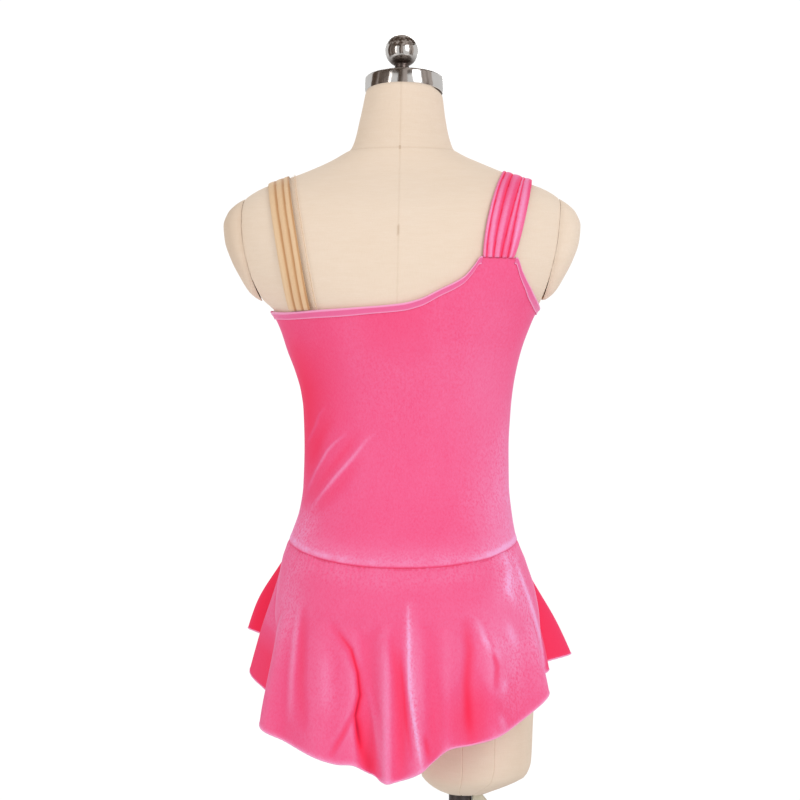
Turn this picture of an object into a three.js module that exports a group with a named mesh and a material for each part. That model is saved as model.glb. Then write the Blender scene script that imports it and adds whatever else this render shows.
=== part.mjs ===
// A figure skating dress of stretch velvet, worn by a limbless dress form on a pole and base plate.
// Millimetres, +Z up. The wearer faces +Y, and the wearer's right is +X. The origin is on the
// floor, under the middle of the torso, on the base plate's flat underside.
import * as THREE from 'three';

// Driving dimensions
const CLEARANCE = 2.6; // between the form and the dress lying on it
const STRAP_CLEARANCE = 2.3; // between the form's shoulder and a strap
const WALL = 1.5; // velvet with its seam allowances
const LAP = 0.3; // between two pieces that meet or lie on each other
const BINDING_WIDTH = 9;
const BINDING_THICK = 1.2;
const SKIRT_STAND_OFF = 6.8; // least distance from the form to the skirt's inside, over the brief
const SEAM_BACK = 729; // height of the hip seam at the middle of the back
const SEAM_SIDE = 757;
const SEAM_FRONT = 730;
const SEAM_LAP = 2.5; // the skirt's top edge covers the bodice's lower edge by this much
const BUST = { height: 1012, apart: 62, out: 30, dip: 0.22, spreadAcross: 58, spreadUp: 58 };
const NECK_TILT = 7; // degrees, back edge up
const NECK_ROLL = 1.6; // degrees, the wearer's right side lower under the level plate
const NECK_TILT_FROM = 1235;
const NECK_TOP = 1290;
const PLATE = { radius: 47, height: 19, rim: 1.6, crown: 2.4, seat: 1.7 };
const KNOB = { aside: -2.9, stemRadius: 9, stemHeight: 11.2, ballRadius: 19.7 };
const POLE = { x: 69, y: -10, radius: 13.5 };
const STUMP_BOTTOM = 455;
const BASE = { radius: 185, height: 10, edge: 3 };
const SOCKET = { radius: 24, height: 32 };
const LUG = { thick: 14, drop: 28, reachTop: 10.6, reach: 21 };

// The form's level sections: each row gives the surface's distance from the middle planes.
const SECTIONS = [
  { z: 455, left: -57, right: 105, front: 15, back: 35, round: 2 },
  { z: 459.5, left: -45, right: 113, front: 30, back: 50, round: 2 },
  { z: 468.6, left: -31, right: 133, front: 46, back: 66, round: 2 },
  { z: 480, left: -23, right: 147, front: 56, back: 76, round: 2 },
  { z: 497, left: -21, right: 153, front: 61, back: 81, round: 2 },
  { z: 540, left: -19, right: 155, front: 64, back: 86, round: 2 },
  { z: 566, left: -12, right: 156, front: 68, back: 94, round: 2 },
  { z: 582, left: 6, right: 156, front: 74, back: 105, round: 2 },
  { z: 593, left: 45, right: 157, front: 80, back: 115, round: 2.05 },
  { z: 604, left: 88, right: 157, front: 84, back: 121, round: 2.1 },
  { z: 620, left: 120, right: 157, front: 88, back: 126, round: 2.15 },
  { z: 642, left: 137, right: 157, front: 91, back: 130, round: 2.2 },
  { z: 670, left: 143, right: 155, front: 94, back: 131, round: 2.2 },
  { z: 700, left: 141, right: 149, front: 96, back: 127, round: 2.2 },
  { z: 730, left: 136, right: 140, front: 97, back: 117, round: 2.2 },
  { z: 757, left: 129.5, right: 132, front: 97, back: 104, round: 2.2 },
  { z: 794, left: 117.4, right: 126, front: 92, back: 89, round: 2.2 },
  { z: 822, left: 113.3, right: 123.3, front: 88, back: 82, round: 2.2 },
  { z: 868, left: 112, right: 122.7, front: 85, back: 78, round: 2.2 },
  { z: 912, left: 113.3, right: 125, front: 88, back: 82, round: 2.2 },
  { z: 935, left: 116.3, right: 127.5, front: 91, back: 86, round: 2.2 },
  { z: 958, left: 122.7, right: 131.5, front: 94, back: 92, round: 2.2 },
  { z: 984, left: 132.4, right: 138, front: 98, back: 99, round: 2.2 },
  { z: 1009, left: 140.7, right: 147, front: 102, back: 105, round: 2.2 },
  { z: 1029, left: 151, right: 156, front: 105, back: 109, round: 2.2 },
  { z: 1042, left: 165, right: 166, front: 106, back: 111, round: 2.2 },
  { z: 1054, left: 177, right: 176, front: 106, back: 112, round: 2.2 },
  { z: 1072, left: 189, right: 186, front: 104, back: 113, round: 2.2 },
  { z: 1096, left: 198, right: 195, front: 98, back: 111, round: 2.2 },
  { z: 1120, left: 201, right: 198, front: 87, back: 106, round: 2.2 },
  { z: 1144, left: 197, right: 195, front: 75, back: 97, round: 2.2 },
  { z: 1159, left: 187.5, right: 188, front: 65, back: 88, round: 2.2 },
  { z: 1172, left: 169, right: 170, front: 54, back: 78, round: 2.15 },
  { z: 1179, left: 152, right: 152, front: 50, back: 73, round: 2.1 },
  { z: 1191, left: 120, right: 125, front: 45, back: 64, round: 2.05 },
  { z: 1205, left: 88, right: 92, front: 44, back: 57, round: 2 },
  { z: 1214, left: 72, right: 72, front: 45, back: 54, round: 2 },
  { z: 1222, left: 60, right: 60.5, front: 47, back: 52, round: 2 },
  { z: 1257, left: 50, right: 52, front: 50, back: 46, round: 2 },
  { z: 1290, left: 43, right: 48.5, front: 54, back: 43, round: 2 },
];

// The armholes' planes and the caps that close them. Heights run down the armhole.
const ARMHOLE = [
  { z: 1161, left: 186, right: 186, out: 187 },
  { z: 1154, left: 187.5, right: 186.5, out: 197.5 },
  { z: 1145, left: 188.5, right: 186, out: 206 },
  { z: 1130, left: 188.5, right: 184.5, out: 211.5 },
  { z: 1112, left: 187, right: 182.5, out: 210 },
  { z: 1088, left: 182.5, right: 178, out: 202 },
  { z: 1068, left: 177, right: 173, out: 191.5 },
  { z: 1052, left: 170, right: 168, out: 181 },
  { z: 1045, left: 166.5, right: 165.5, out: 173 },
  { z: 1041, left: 164, right: 164, out: 166 },
];
const CAP = { halfDepth: 40, leastDepth: 0.6, roundness: 0.85 };

// The top edges of the bodice, from the wearer's left side seam to the right one.
const TOP_EDGE_BACK = [
  { x: -156, z: 1030 },
  { x: -131, z: 1027 },
  { x: -98, z: 1028 },
  { x: -39, z: 1031 },
  { x: 0, z: 1034.5 },
  { x: 20, z: 1039.5 },
  { x: 43, z: 1050.5 },
  { x: 70, z: 1065 },
  { x: 82, z: 1078 },
  { x: 90, z: 1088 },
  { x: 131, z: 1088 },
  { x: 137, z: 1073 },
  { x: 148, z: 1053 },
  { x: 161, z: 1033 },
];
const TOP_EDGE_FRONT = [
  { x: -156, z: 1029 },
  { x: -135, z: 1043 },
  { x: -105, z: 1053 },
  { x: -50, z: 1060 },
  { x: 0, z: 1066 },
  { x: 40, z: 1077 },
  { x: 70, z: 1092 },
  { x: 84, z: 1104 },
  { x: 90, z: 1110 },
  { x: 131, z: 1110 },
  { x: 139, z: 1085 },
  { x: 149, z: 1058 },
  { x: 161, z: 1032 },
];
const STRAP_SEAM_FROM = 90; // across, the velvet strap's seam on the bodice's top edge
const STRAP_SEAM_TO = 131;

// The gathered straps, from the back's top edge over the shoulder to the front's. Each edge gives
// its x at the feet and at the top, and how late it leans over on the way up.
const VELVET_STRAP = {
  inner: { base: 92, top: 119, late: 1.6 },
  outer: { base: 127.5, top: 152, late: 0.75 },
  backFoot: 1088.3,
  frontFoot: 1110.3,
  pleats: 4,
  rise: 2.6,
};
const MESH_STRAP = {
  inner: { base: -97, top: -126, late: 0.85 },
  outer: { base: -129, top: -157, late: 0.8 },
  backFoot: 1030,
  frontFoot: 1054.5,
  pleats: 3,
  rise: 1.8,
};

// The skirt's folds, once round from the middle of the back towards the wearer's right.
// turn is where the fold starts on the hip seam, and x, y, z are where it meets the hem.
const FOLDS = [
  { turn: 3, x: 21, y: -168, z: 505 },
  { turn: 9, x: 30, y: -153, z: 515 },
  { turn: 19, x: 53, y: -168, z: 530 },
  { turn: 30, x: 80, y: -143, z: 532 },
  { turn: 43, x: 107, y: -148, z: 541 },
  { turn: 54, x: 130, y: -119, z: 553 },
  { turn: 66, x: 169, y: -96, z: 583 },
  { turn: 80, x: 158, y: -60, z: 597 },
  { turn: 89, x: 174, y: -34, z: 606 },
  { turn: 97, x: 168, y: -6, z: 611 },
  { turn: 110, x: 204, y: 42, z: 618 },
  { turn: 124, x: 156, y: 70, z: 620 },
  { turn: 137, x: 132, y: 122, z: 619 },
  { turn: 150, x: 84, y: 112, z: 618 },
  { turn: 164, x: 52, y: 144, z: 618 },
  { turn: 178, x: 8, y: 120, z: 619 },
  { turn: 192, x: -40, y: 146, z: 623 },
  { turn: 206, x: -80, y: 114, z: 629 },
  { turn: 220, x: -122, y: 126, z: 636 },
  { turn: 234, x: -150, y: 82, z: 644 },
  { turn: 248, x: -186, y: 50, z: 648 },
  { turn: 261, x: -157, y: 18, z: 634 },
  { turn: 273, x: -180, y: -18, z: 603 },
  { turn: 285, x: -154, y: -52, z: 576 },
  { turn: 299, x: -163, y: -100, z: 547 },
  { turn: 309, x: -135, y: -118, z: 534 },
  { turn: 320, x: -103, y: -150, z: 520 },
  { turn: 330, x: -76, y: -142, z: 512 },
  { turn: 339, x: -54, y: -160, z: 510 },
  { turn: 346, x: -33, y: -149, z: 499 },
  { turn: 353, x: -19, y: -168, z: 492.5 },
  { turn: 357.5, x: -7, y: -157, z: 494.5 },
];
const HEM_MEAN = { halfWidth: 170, front: 130, back: 154 };
const FOLD_START = 1.35; // how late the folds open out on the way down to the hem
const FLARE_EASE = 1.9; // how soon the skirt leaves the hips

// Half of the brief, from the hip seam down to the crotch: its left and right edges on the form.
// down runs from 0 to 1, and the first row's heights are the hip seam's.
const BRIEF = [
  { down: 0, leftTurn: -90, leftZ: 757, rightTurn: 90, rightZ: 757 },
  { down: 0.3, leftTurn: -90, leftZ: 694, rightTurn: 90, rightZ: 694 },
  { down: 0.55, leftTurn: -50, leftZ: 646, rightTurn: 40, rightZ: 646 },
  { down: 0.7, leftTurn: -41, leftZ: 612, rightTurn: 12, rightZ: 612 },
  { down: 0.82, leftTurn: -55, leftZ: 597, rightTurn: -22, rightZ: 594 },
  { down: 1, leftTurn: -90, leftZ: 590, rightTurn: -90, rightZ: 572 },
];
const BRIEF_LEG = 0.3; // down to where the leg openings start
const BRIEF_CROTCH = 0.7; // down to where the crotch strip starts
const BRIEF_TOP_GAP = 1; // below the hip seam, so that the seam's curve stays clear

const HIP_RADIUS = 130;
const SUMMIT_DROP = 0.4; // a strap passes just below the shoulder line's height
const DEGREE = Math.PI / 180;
const SIDE_SEAM_TURN = LAP / 2 / HIP_RADIUS / DEGREE; // from a side seam to a piece's edge
const clamp = (value, low, high) => Math.min(high, Math.max(low, value));
const mix = (a, b, share) => a + (b - a) * share;

// Smooth value of a column at a place in a table whose rows run along one key, without overshoot
function lookUp(rows, key, column, place) {
  const rising = rows[rows.length - 1][key] > rows[0][key] ? 1 : -1;
  const at = clamp(place * rising, rows[0][key] * rising, rows[rows.length - 1][key] * rising);
  let i = 0;
  while (i < rows.length - 2 && at > rows[i + 1][key] * rising) i += 1;
  const slope = (k) => (rows[k + 1][column] - rows[k][column])
    / ((rows[k + 1][key] - rows[k][key]) * rising);
  const tangent = (k) => {
    if (k === 0) return slope(0);
    if (k === rows.length - 1) return slope(k - 1);
    const before = slope(k - 1);
    const after = slope(k);
    return before * after <= 0 ? 0 : 2 * before * after / (before + after);
  };
  const span = (rows[i + 1][key] - rows[i][key]) * rising;
  const s = (at - rows[i][key] * rising) / span;
  const a = rows[i][column];
  const b = rows[i + 1][column];
  const rise = tangent(i) * span;
  const fall = tangent(i + 1) * span;
  return a * (1 + 2 * s) * (1 - s) ** 2 + rise * s * (1 - s) ** 2
    + b * s * s * (3 - 2 * s) + fall * s * s * (s - 1);
}

const signedPower = (value, power) => Math.sign(value) * Math.abs(value) ** power;

// The section at a height: its middle, half width, half depth and how square it is
function section(z) {
  const left = lookUp(SECTIONS, 'z', 'left', z);
  const right = lookUp(SECTIONS, 'z', 'right', z);
  const front = lookUp(SECTIONS, 'z', 'front', z);
  const back = lookUp(SECTIONS, 'z', 'back', z);
  return {
    x: (right - left) / 2,
    y: (front - back) / 2,
    halfWidth: (right + left) / 2,
    halfDepth: (front + back) / 2,
    round: lookUp(SECTIONS, 'z', 'round', z),
  };
}

// A point on the form. turn is in degrees, 0 at the back, 90 at the wearer's right side.
function formPoint(turn, z) {
  const s = section(z);
  const sine = Math.sin(turn * DEGREE);
  const cosine = Math.cos(turn * DEGREE);
  const x = s.x + s.halfWidth * signedPower(sine, 2 / s.round);
  let y = s.y - s.halfDepth * signedPower(cosine, 2 / s.round);
  const across = Math.max(0, Math.abs(x) - BUST.apart) / BUST.spreadAcross;
  const inward = 1 + Math.cos(Math.PI * Math.min(1, Math.abs(x) / BUST.apart));
  const up = (z - BUST.height) / BUST.spreadUp;
  const swell = (1 - BUST.dip * inward / 2) * Math.exp(-across * across - up * up);
  y += BUST.out * Math.max(0, -cosine) * swell;
  const neck = clamp((z - NECK_TILT_FROM) / (NECK_TOP - NECK_TILT_FROM), 0, 1);
  const lean = -y * Math.tan(NECK_TILT * DEGREE) - x * Math.tan(NECK_ROLL * DEGREE);
  return new THREE.Vector3(x, y, z + neck * lean);
}

// The same point, cut off at the armholes' planes
function torsoPoint(turn, z) {
  const point = formPoint(turn, z);
  if (z > ARMHOLE[ARMHOLE.length - 1].z && z < ARMHOLE[0].z) {
    const right = lookUp(ARMHOLE, 'z', 'right', z);
    const left = lookUp(ARMHOLE, 'z', 'left', z);
    point.x = clamp(point.x, -left, right);
  }
  return point;
}

function formNormal(turn, z) {
  const around = formPoint(turn + 0.6, z).sub(formPoint(turn - 0.6, z));
  const up = formPoint(turn, z + 0.8).sub(formPoint(turn, z - 0.8));
  return around.cross(up).normalize();
}

// The turn of the form's point that has a given x at a height, on the back or the front
function turnAt(x, z, onFront) {
  const s = section(z);
  const sine = signedPower(clamp((x - s.x) / s.halfWidth, -1, 1), s.round / 2);
  const turn = Math.asin(sine) / DEGREE;
  return onFront ? 180 - turn : turn;
}

function lifted(turn, z, off) {
  return formPoint(turn, z).addScaledVector(formNormal(turn, z), off);
}

// Closed solid from faces over a list of points
function solid(name, material, points, faces) {
  const geometry = new THREE.BufferGeometry();
  geometry.setAttribute('position', new THREE.Float32BufferAttribute(
    points.flatMap((p) => [p.x, p.y, p.z]), 3));
  geometry.setIndex(faces.flat());
  geometry.computeVertexNormals();
  return named(name, geometry, material);
}

function named(name, geometry, material) {
  const mesh = new THREE.Mesh(geometry, material);
  mesh.name = name;
  return mesh;
}

// A solid through rings of equal count that are stacked along its length, closed by end fans
function stack(name, material, rings) {
  const count = rings[0].length;
  const points = rings.flat();
  const faces = [];
  for (let r = 0; r < rings.length - 1; r += 1) {
    for (let c = 0; c < count; c += 1) {
      const a = r * count + c;
      const b = r * count + (c + 1) % count;
      faces.push([a, b, b + count], [a, b + count, a + count]);
    }
  }
  const middle = (ring) => ring.reduce((sum, p) => sum.add(p), new THREE.Vector3())
    .divideScalar(ring.length);
  points.push(middle(rings[0]), middle(rings[rings.length - 1]));
  const last = (rings.length - 1) * count;
  for (let c = 0; c < count; c += 1) {
    const next = (c + 1) % count;
    faces.push([next, c, points.length - 2], [last + c, last + next, points.length - 1]);
  }
  return solid(name, material, points, faces);
}

// A cloth wall between an inner and an outer grid, closed all round its edge. inside and outside
// give the point of a column, counted to the right as seen from outside, and of a row, from below.
function wall(name, material, columns, rows, inside, outside) {
  const points = [];
  [outside, inside].forEach((layer) => {
    for (let r = 0; r <= rows; r += 1) {
      for (let c = 0; c <= columns; c += 1) points.push(layer(c, r));
    }
  });
  const size = (rows + 1) * (columns + 1);
  const at = (c, r) => r * (columns + 1) + c;
  const faces = [];
  const quad = (a, b, c, d) => faces.push([a, b, c], [a, c, d]);
  for (let r = 0; r < rows; r += 1) {
    for (let c = 0; c < columns; c += 1) {
      const corners = [at(c, r), at(c + 1, r), at(c + 1, r + 1), at(c, r + 1)];
      const [a, b, d, e] = corners.map((k) => points[k]);
      if (Math.abs(b.z - e.z) < Math.abs(a.z - d.z)) corners.push(corners.shift());
      quad(...corners);
      const [first, ...others] = corners.map((k) => size + k);
      quad(first, ...others.reverse());
    }
    quad(at(0, r), at(0, r + 1), size + at(0, r + 1), size + at(0, r));
    quad(at(columns, r + 1), at(columns, r), size + at(columns, r), size + at(columns, r + 1));
  }
  for (let c = 0; c < columns; c += 1) {
    quad(at(c + 1, 0), at(c, 0), size + at(c, 0), size + at(c + 1, 0));
    quad(at(c, rows), at(c + 1, rows), size + at(c + 1, rows), size + at(c, rows));
  }
  return solid(name, material, points, faces);
}

const velvet = new THREE.MeshStandardMaterial({ color: 0xf6648f, roughness: 0.75 });
const braid = new THREE.MeshStandardMaterial({ color: 0xf07ab0, roughness: 0.6 });
const nudeMesh = new THREE.MeshStandardMaterial({ color: 0xd9ae83, roughness: 0.7 });
const linen = new THREE.MeshStandardMaterial({ color: 0xecdbc8, roughness: 0.9 });
const chrome = new THREE.MeshStandardMaterial({ color: 0xc8c8c8, roughness: 0.2, metalness: 1 });
const darkPaint = new THREE.MeshStandardMaterial({ color: 0x55504f, roughness: 0.4 });
const creamPlastic = new THREE.MeshStandardMaterial({ color: 0xd6d0b9, roughness: 0.5 });

// The form: a padded torso with one thigh stump, in rings from the stump up to the neck
function formTorso() {
  const columns = 36;
  const widestStep = 22;
  const heights = [];
  SECTIONS.forEach((row, i) => {
    if (i === 0) return;
    const low = SECTIONS[i - 1].z;
    const count = Math.ceil((row.z - low) / widestStep);
    for (let k = 0; k < count; k += 1) heights.push(mix(low, row.z, k / count));
  });
  heights.push(NECK_TOP);
  return stack('form_torso', linen, heights.map((z) => {
    const ring = [];
    for (let c = 0; c < columns; c += 1) ring.push(torsoPoint(360 * (c + 0.5) / columns, z));
    return ring;
  }));
}

// A cap over an armhole: level sections, flat on the torso and rounded outwards
function armCap(name, side) {
  const columns = 8;
  const plane = side < 0 ? 'left' : 'right';
  const top = ARMHOLE[0].z - 1;
  const bottom = ARMHOLE[ARMHOLE.length - 1].z + 1;
  const levels = 11;
  const rings = [];
  for (let k = 0; k <= levels; k += 1) {
    const z = mix(bottom, top, 0.5 - 0.5 * Math.cos(Math.PI * k / levels));
    const seat = lookUp(ARMHOLE, 'z', plane, z) + LAP;
    const out = Math.max(lookUp(ARMHOLE, 'z', 'out', z), seat + CAP.leastDepth);
    const level = (2 * z - top - bottom) / (top - bottom + 2);
    const halfDepth = CAP.halfDepth * Math.sqrt(1 - level * level);
    const ring = [];
    for (let c = 0; c <= columns; c += 1) {
      const angle = Math.PI * (c / columns - 0.5) * side;
      const x = mix(seat, out, Math.cos(angle) ** CAP.roundness);
      ring.push(new THREE.Vector3(side * x, section(z).y + halfDepth * Math.sin(angle), z));
    }
    rings.push(ring);
  }
  return stack(name, linen, rings);
}

// The chrome plate on the neck and the ball knob over it
function neckGroup() {
  const group = new THREE.Group();
  const seat = section(NECK_TOP);
  group.position.set(seat.x, seat.y, NECK_TOP);
  const foot = formPoint(90, NECK_TOP).add(formPoint(-90, NECK_TOP)).multiplyScalar(0.5);
  group.position.z = foot.z + PLATE.seat;
  group.rotation.set(-NECK_TILT * DEGREE, 0, 0);
  const { radius, height, rim, crown } = PLATE;
  const plateProfile = [
    [0, 0], [radius - rim, 0], [radius, rim], [radius, height - rim], [radius - rim, height],
    [radius * 0.45, height + crown * 0.8], [0, height + crown],
  ];
  group.add(lathe('neck_plate', chrome, plateProfile, 24));
  const { stemRadius, stemHeight, ballRadius } = KNOB;
  const ballProfile = [[0, 0], [stemRadius + 3, 0], [stemRadius, 3], [stemRadius, stemHeight]];
  const start = Math.asin(stemRadius / ballRadius);
  const ballSteps = 8;
  const centre = stemHeight + ballRadius * Math.cos(start);
  for (let k = 1; k <= ballSteps; k += 1) {
    const angle = mix(start, Math.PI, k / ballSteps);
    ballProfile.push([ballRadius * Math.sin(angle), centre - ballRadius * Math.cos(angle)]);
  }
  ballProfile[ballProfile.length - 1][0] = 0;
  const knob = lathe('knob', chrome, ballProfile, 16);
  knob.position.set(KNOB.aside, 0, height + crown + LAP);
  group.add(knob);
  return group;
}

// A turned solid about +Z from pairs of radius and height
function lathe(name, material, profile, segments) {
  const geometry = new THREE.LatheGeometry(
    profile.map(([radius, height]) => new THREE.Vector2(radius, height)), segments);
  geometry.rotateX(Math.PI / 2);
  return named(name, geometry, material);
}

// The stand: base plate, socket, pole and the clamp's lug under the stump
function stand() {
  const group = new THREE.Group();
  const { radius, height, edge } = BASE;
  group.add(lathe('base', darkPaint,
    [[0, 0], [radius, 0], [radius, height - edge], [radius - edge, height], [0, height]], 32));
  const foot = new THREE.Group();
  foot.position.set(POLE.x, POLE.y, height + LAP);
  const inner = POLE.radius + LAP;
  foot.add(lathe('pole_socket', darkPaint, [
    [inner, 0], [SOCKET.radius, 0], [SOCKET.radius, SOCKET.height - 4],
    [SOCKET.radius - 4, SOCKET.height], [inner, SOCKET.height], [inner, 0],
  ], 16));
  const poleLength = STUMP_BOTTOM - LAP - height - LAP;
  foot.add(lathe('pole', darkPaint,
    [[0, 0], [POLE.radius, 0], [POLE.radius, poleLength], [0, poleLength]], 16));
  group.add(foot);
  const outline = new THREE.Shape([
    new THREE.Vector2(0, 0),
    new THREE.Vector2(0, -LUG.drop),
    new THREE.Vector2(LUG.reach * 0.65, -LUG.drop),
    new THREE.Vector2(LUG.reach, -LUG.drop * 0.75),
    new THREE.Vector2(LUG.reach, -LUG.drop * 0.45),
    new THREE.Vector2(LUG.reachTop, 0),
  ]);
  const block = new THREE.ExtrudeGeometry(outline, { depth: LUG.thick, bevelEnabled: false });
  block.rotateX(Math.PI / 2);
  const lug = named('pole_lug', block, creamPlastic);
  lug.position.set(POLE.x + POLE.radius + LAP, POLE.y + LUG.thick / 2, STUMP_BOTTOM - LAP);
  group.add(lug);
  return group;
}

// The hip seam's height at a turn
function seamHeight(turn) {
  const cosine = Math.cos(turn * DEGREE);
  const drop = cosine > 0 ? SEAM_SIDE - SEAM_BACK : SEAM_SIDE - SEAM_FRONT;
  return SEAM_SIDE - drop * Math.abs(cosine) ** 1.3;
}

// The height of the bodice's top edge at a turn
function topHeight(turn) {
  const table = Math.cos(turn * DEGREE) > 0 ? TOP_EDGE_BACK : TOP_EDGE_FRONT;
  let low = SEAM_SIDE;
  let high = 1140;
  for (let k = 0; k < 24; k += 1) {
    const middle = (low + high) / 2;
    if (lookUp(table, 'x', 'z', formPoint(turn, middle).x) > middle) low = middle;
    else high = middle;
  }
  return low;
}

// Even steps from one value to another
function steps(from, to, count) {
  return Array.from({ length: count + 1 }, (_, k) => mix(from, to, k / count));
}

// The turns of the columns of half a bodice: the velvet strap's seam starts and ends on one
function bodiceTurns(onFront) {
  const table = onFront ? TOP_EDGE_FRONT : TOP_EDGE_BACK;
  const corner = (x) => turnAt(x, lookUp(table, 'x', 'z', x), onFront);
  const left = onFront ? 270 - SIDE_SEAM_TURN : -90 + SIDE_SEAM_TURN;
  const right = onFront ? 90 + SIDE_SEAM_TURN : 90 - SIDE_SEAM_TURN;
  const marks = [left, corner(STRAP_SEAM_FROM), corner(STRAP_SEAM_TO), right];
  const turns = [
    ...steps(marks[0], marks[1], 14).slice(0, -1),
    ...steps(marks[1], marks[2], 4).slice(0, -1),
    ...steps(marks[2], marks[3], 8),
  ];
  return onFront ? turns.reverse() : turns;
}

// A piece of the dress over some of half a bodice's columns and rows, at a height off the form
function piece(name, material, onFront, turns, levels, off, thick) {
  const at = (c, r, lift) => {
    const turn = turns[c];
    const top = topHeight(turn);
    const low = seamHeight(turn) + LAP;
    const z = levels[r] > 1 ? top : mix(low, top - BINDING_WIDTH, levels[r]);
    return lifted(turn, z, lift);
  };
  return wall(name, material, turns.length - 1, levels.length - 1,
    (c, r) => at(c, r, off), (c, r) => at(c, r, off + thick));
}

// The brief's halves, which meet at the side seams and at the crotch's seam
function brief() {
  const columns = 14;
  const downs = [
    ...steps(1, BRIEF_CROTCH, 5).slice(0, -1),
    ...steps(BRIEF_CROTCH, BRIEF_LEG, 8).slice(0, -1),
    ...steps(BRIEF_LEG, 0, 3),
  ];
  return [false, true].map((onFront) => {
    const at = (c, r, lift) => {
      const share = onFront ? 1 - c / columns : c / columns;
      const down = downs[r];
      const edge = (column) => lookUp(BRIEF, 'down', column, down);
      const back = mix(edge('leftTurn'), edge('rightTurn'), share);
      const inset = (back < 0 ? 1 : -1) * LAP / 2 / 100 / DEGREE;
      const turn = Math.abs(back) > 89.9 ? back + inset : back;
      const shown = onFront ? 180 - turn : turn;
      const z = mix(edge('leftZ'), edge('rightZ'), share);
      const rise = seamHeight(shown) - BRIEF_TOP_GAP - SEAM_SIDE;
      return lifted(shown, z + rise * Math.max(0, 1 - down / BRIEF_LEG), lift);
    };
    return wall(`brief_${onFront ? 'front' : 'back'}`, velvet, columns, downs.length - 1,
      (c, r) => at(c, r, CLEARANCE), (c, r) => at(c, r, CLEARANCE + WALL));
  });
}

const EDGE_LEVEL = 2; // stands for the top edge itself, above the binding's lower edge at 1

// The bodice's halves, and the folded strips over the neckline and the right armhole
function bodice() {
  const levels = [...steps(0, 1, 13), EDGE_LEVEL];
  const strip = [1, EDGE_LEVEL];
  const off = CLEARANCE + WALL + LAP;
  return [false, true].flatMap((onFront) => {
    const side = onFront ? 'front' : 'back';
    const turns = bodiceTurns(onFront);
    const neck = onFront ? turns.slice(12) : turns.slice(0, 15);
    const armhole = onFront ? turns.slice(0, 9) : turns.slice(18);
    return [
      piece(`bodice_${side}`, velvet, onFront, turns, levels, CLEARANCE, WALL),
      piece(`binding_neck_${side}`, braid, onFront, neck, strip, off, BINDING_THICK),
      piece(`binding_armhole_${side}`, braid, onFront, armhole, strip, off, BINDING_THICK),
    ];
  });
}

// The height where the form's shoulder line passes a given x
function shoulderHeight(x) {
  const side = x < 0 ? 'left' : 'right';
  let low = ARMHOLE[0].z;
  let high = NECK_TILT_FROM;
  for (let k = 0; k < 24; k += 1) {
    const middle = (low + high) / 2;
    if (lookUp(SECTIONS, 'z', side, middle) > Math.abs(x)) low = middle;
    else high = middle;
  }
  return low;
}

// A gathered strap over the shoulder: lengthwise pleats raised on a plain inside
function strap(name, material, cut) {
  const columns = cut.pleats * 3;
  const rows = 15;
  const rightSide = cut.inner.base > 0;
  const at = (u, v, lift) => {
    const over = Math.sin(Math.PI * v);
    const edge = rightSide ? u : 1 - u;
    const part = (key) => mix(cut.inner[key], cut.outer[key], edge);
    const x = mix(part('base'), part('top'), over ** part('late'));
    const onFront = v > 0.5;
    const summit = shoulderHeight(x) - SUMMIT_DROP;
    const z = mix(onFront ? cut.frontFoot : cut.backFoot, summit, over);
    return lifted(turnAt(x, z, onFront), z, lift);
  };
  const share = (c, r) => [c / columns, r / rows];
  return wall(name, material, columns, rows, (c, r) => at(...share(c, r), STRAP_CLEARANCE), (c, r) => {
    const [u, v] = share(c, r);
    const pleat = Math.abs(Math.sin(Math.PI * u * cut.pleats));
    const rise = cut.rise * pleat * (0.55 + 0.45 * Math.sin(Math.PI * v));
    return at(u, v, STRAP_CLEARANCE + WALL + rise);
  });
}

// The skirt's hem and hip seam at a turn, from the folds' table, which runs on round the circle
function foldValue(column, turn) {
  const lap = column === 'turn' ? 360 : 0;
  const round = (k) => {
    const row = FOLDS[(k + 2 * FOLDS.length) % FOLDS.length];
    const laps = Math.floor(k / FOLDS.length);
    return { ...row, turn: row.turn + 360 * laps, value: row[column] + lap * laps };
  };
  let k = -FOLDS.length;
  while (round(k + 1).turn <= turn) k += 1;
  const share = (turn - round(k).turn) / (round(k + 1).turn - round(k).turn);
  const eased = (1 - Math.cos(Math.PI * share)) / 2;
  return mix(round(k).value, round(k + 1).value, mix(share, eased, 0.8));
}

// Moves a skirt point out where it would come too near to the form
function offTheForm(point, off) {
  const s = section(point.z);
  const x = (point.x - s.x) / (s.halfWidth + off);
  const y = (point.y - s.y) / (s.halfDepth + off);
  const reach = (Math.abs(x) ** s.round + Math.abs(y) ** s.round) ** (1 / s.round);
  if (reach >= 1 || reach === 0) return point;
  return new THREE.Vector3(
    s.x + (point.x - s.x) / reach, s.y + (point.y - s.y) / reach, point.z);
}

function skirtPoint(turn, down) {
  const top = seamHeight(turn) + SEAM_LAP;
  const start = lifted(turn, top, CLEARANCE + WALL + LAP);
  const hem = new THREE.Vector3(foldValue('x', turn), foldValue('y', turn), foldValue('z', turn));
  const mean = hem.clone();
  const bearing = Math.atan2(hem.x, -hem.y);
  const depth = Math.cos(bearing) > 0 ? HEM_MEAN.back : HEM_MEAN.front;
  mean.x = HEM_MEAN.halfWidth * Math.sin(bearing);
  mean.y = -depth * Math.cos(bearing);
  const flare = 1 - (1 - down) ** FLARE_EASE;
  const fold = down ** FOLD_START;
  const point = new THREE.Vector3(
    start.x + (mean.x - start.x) * flare + (hem.x - mean.x) * fold,
    start.y + (mean.y - start.y) * flare + (hem.y - mean.y) * fold,
    mix(start.z, hem.z, down));
  return offTheForm(point, mix(CLEARANCE + WALL + LAP, SKIRT_STAND_OFF, Math.min(1, down * 20)));
}

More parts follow.
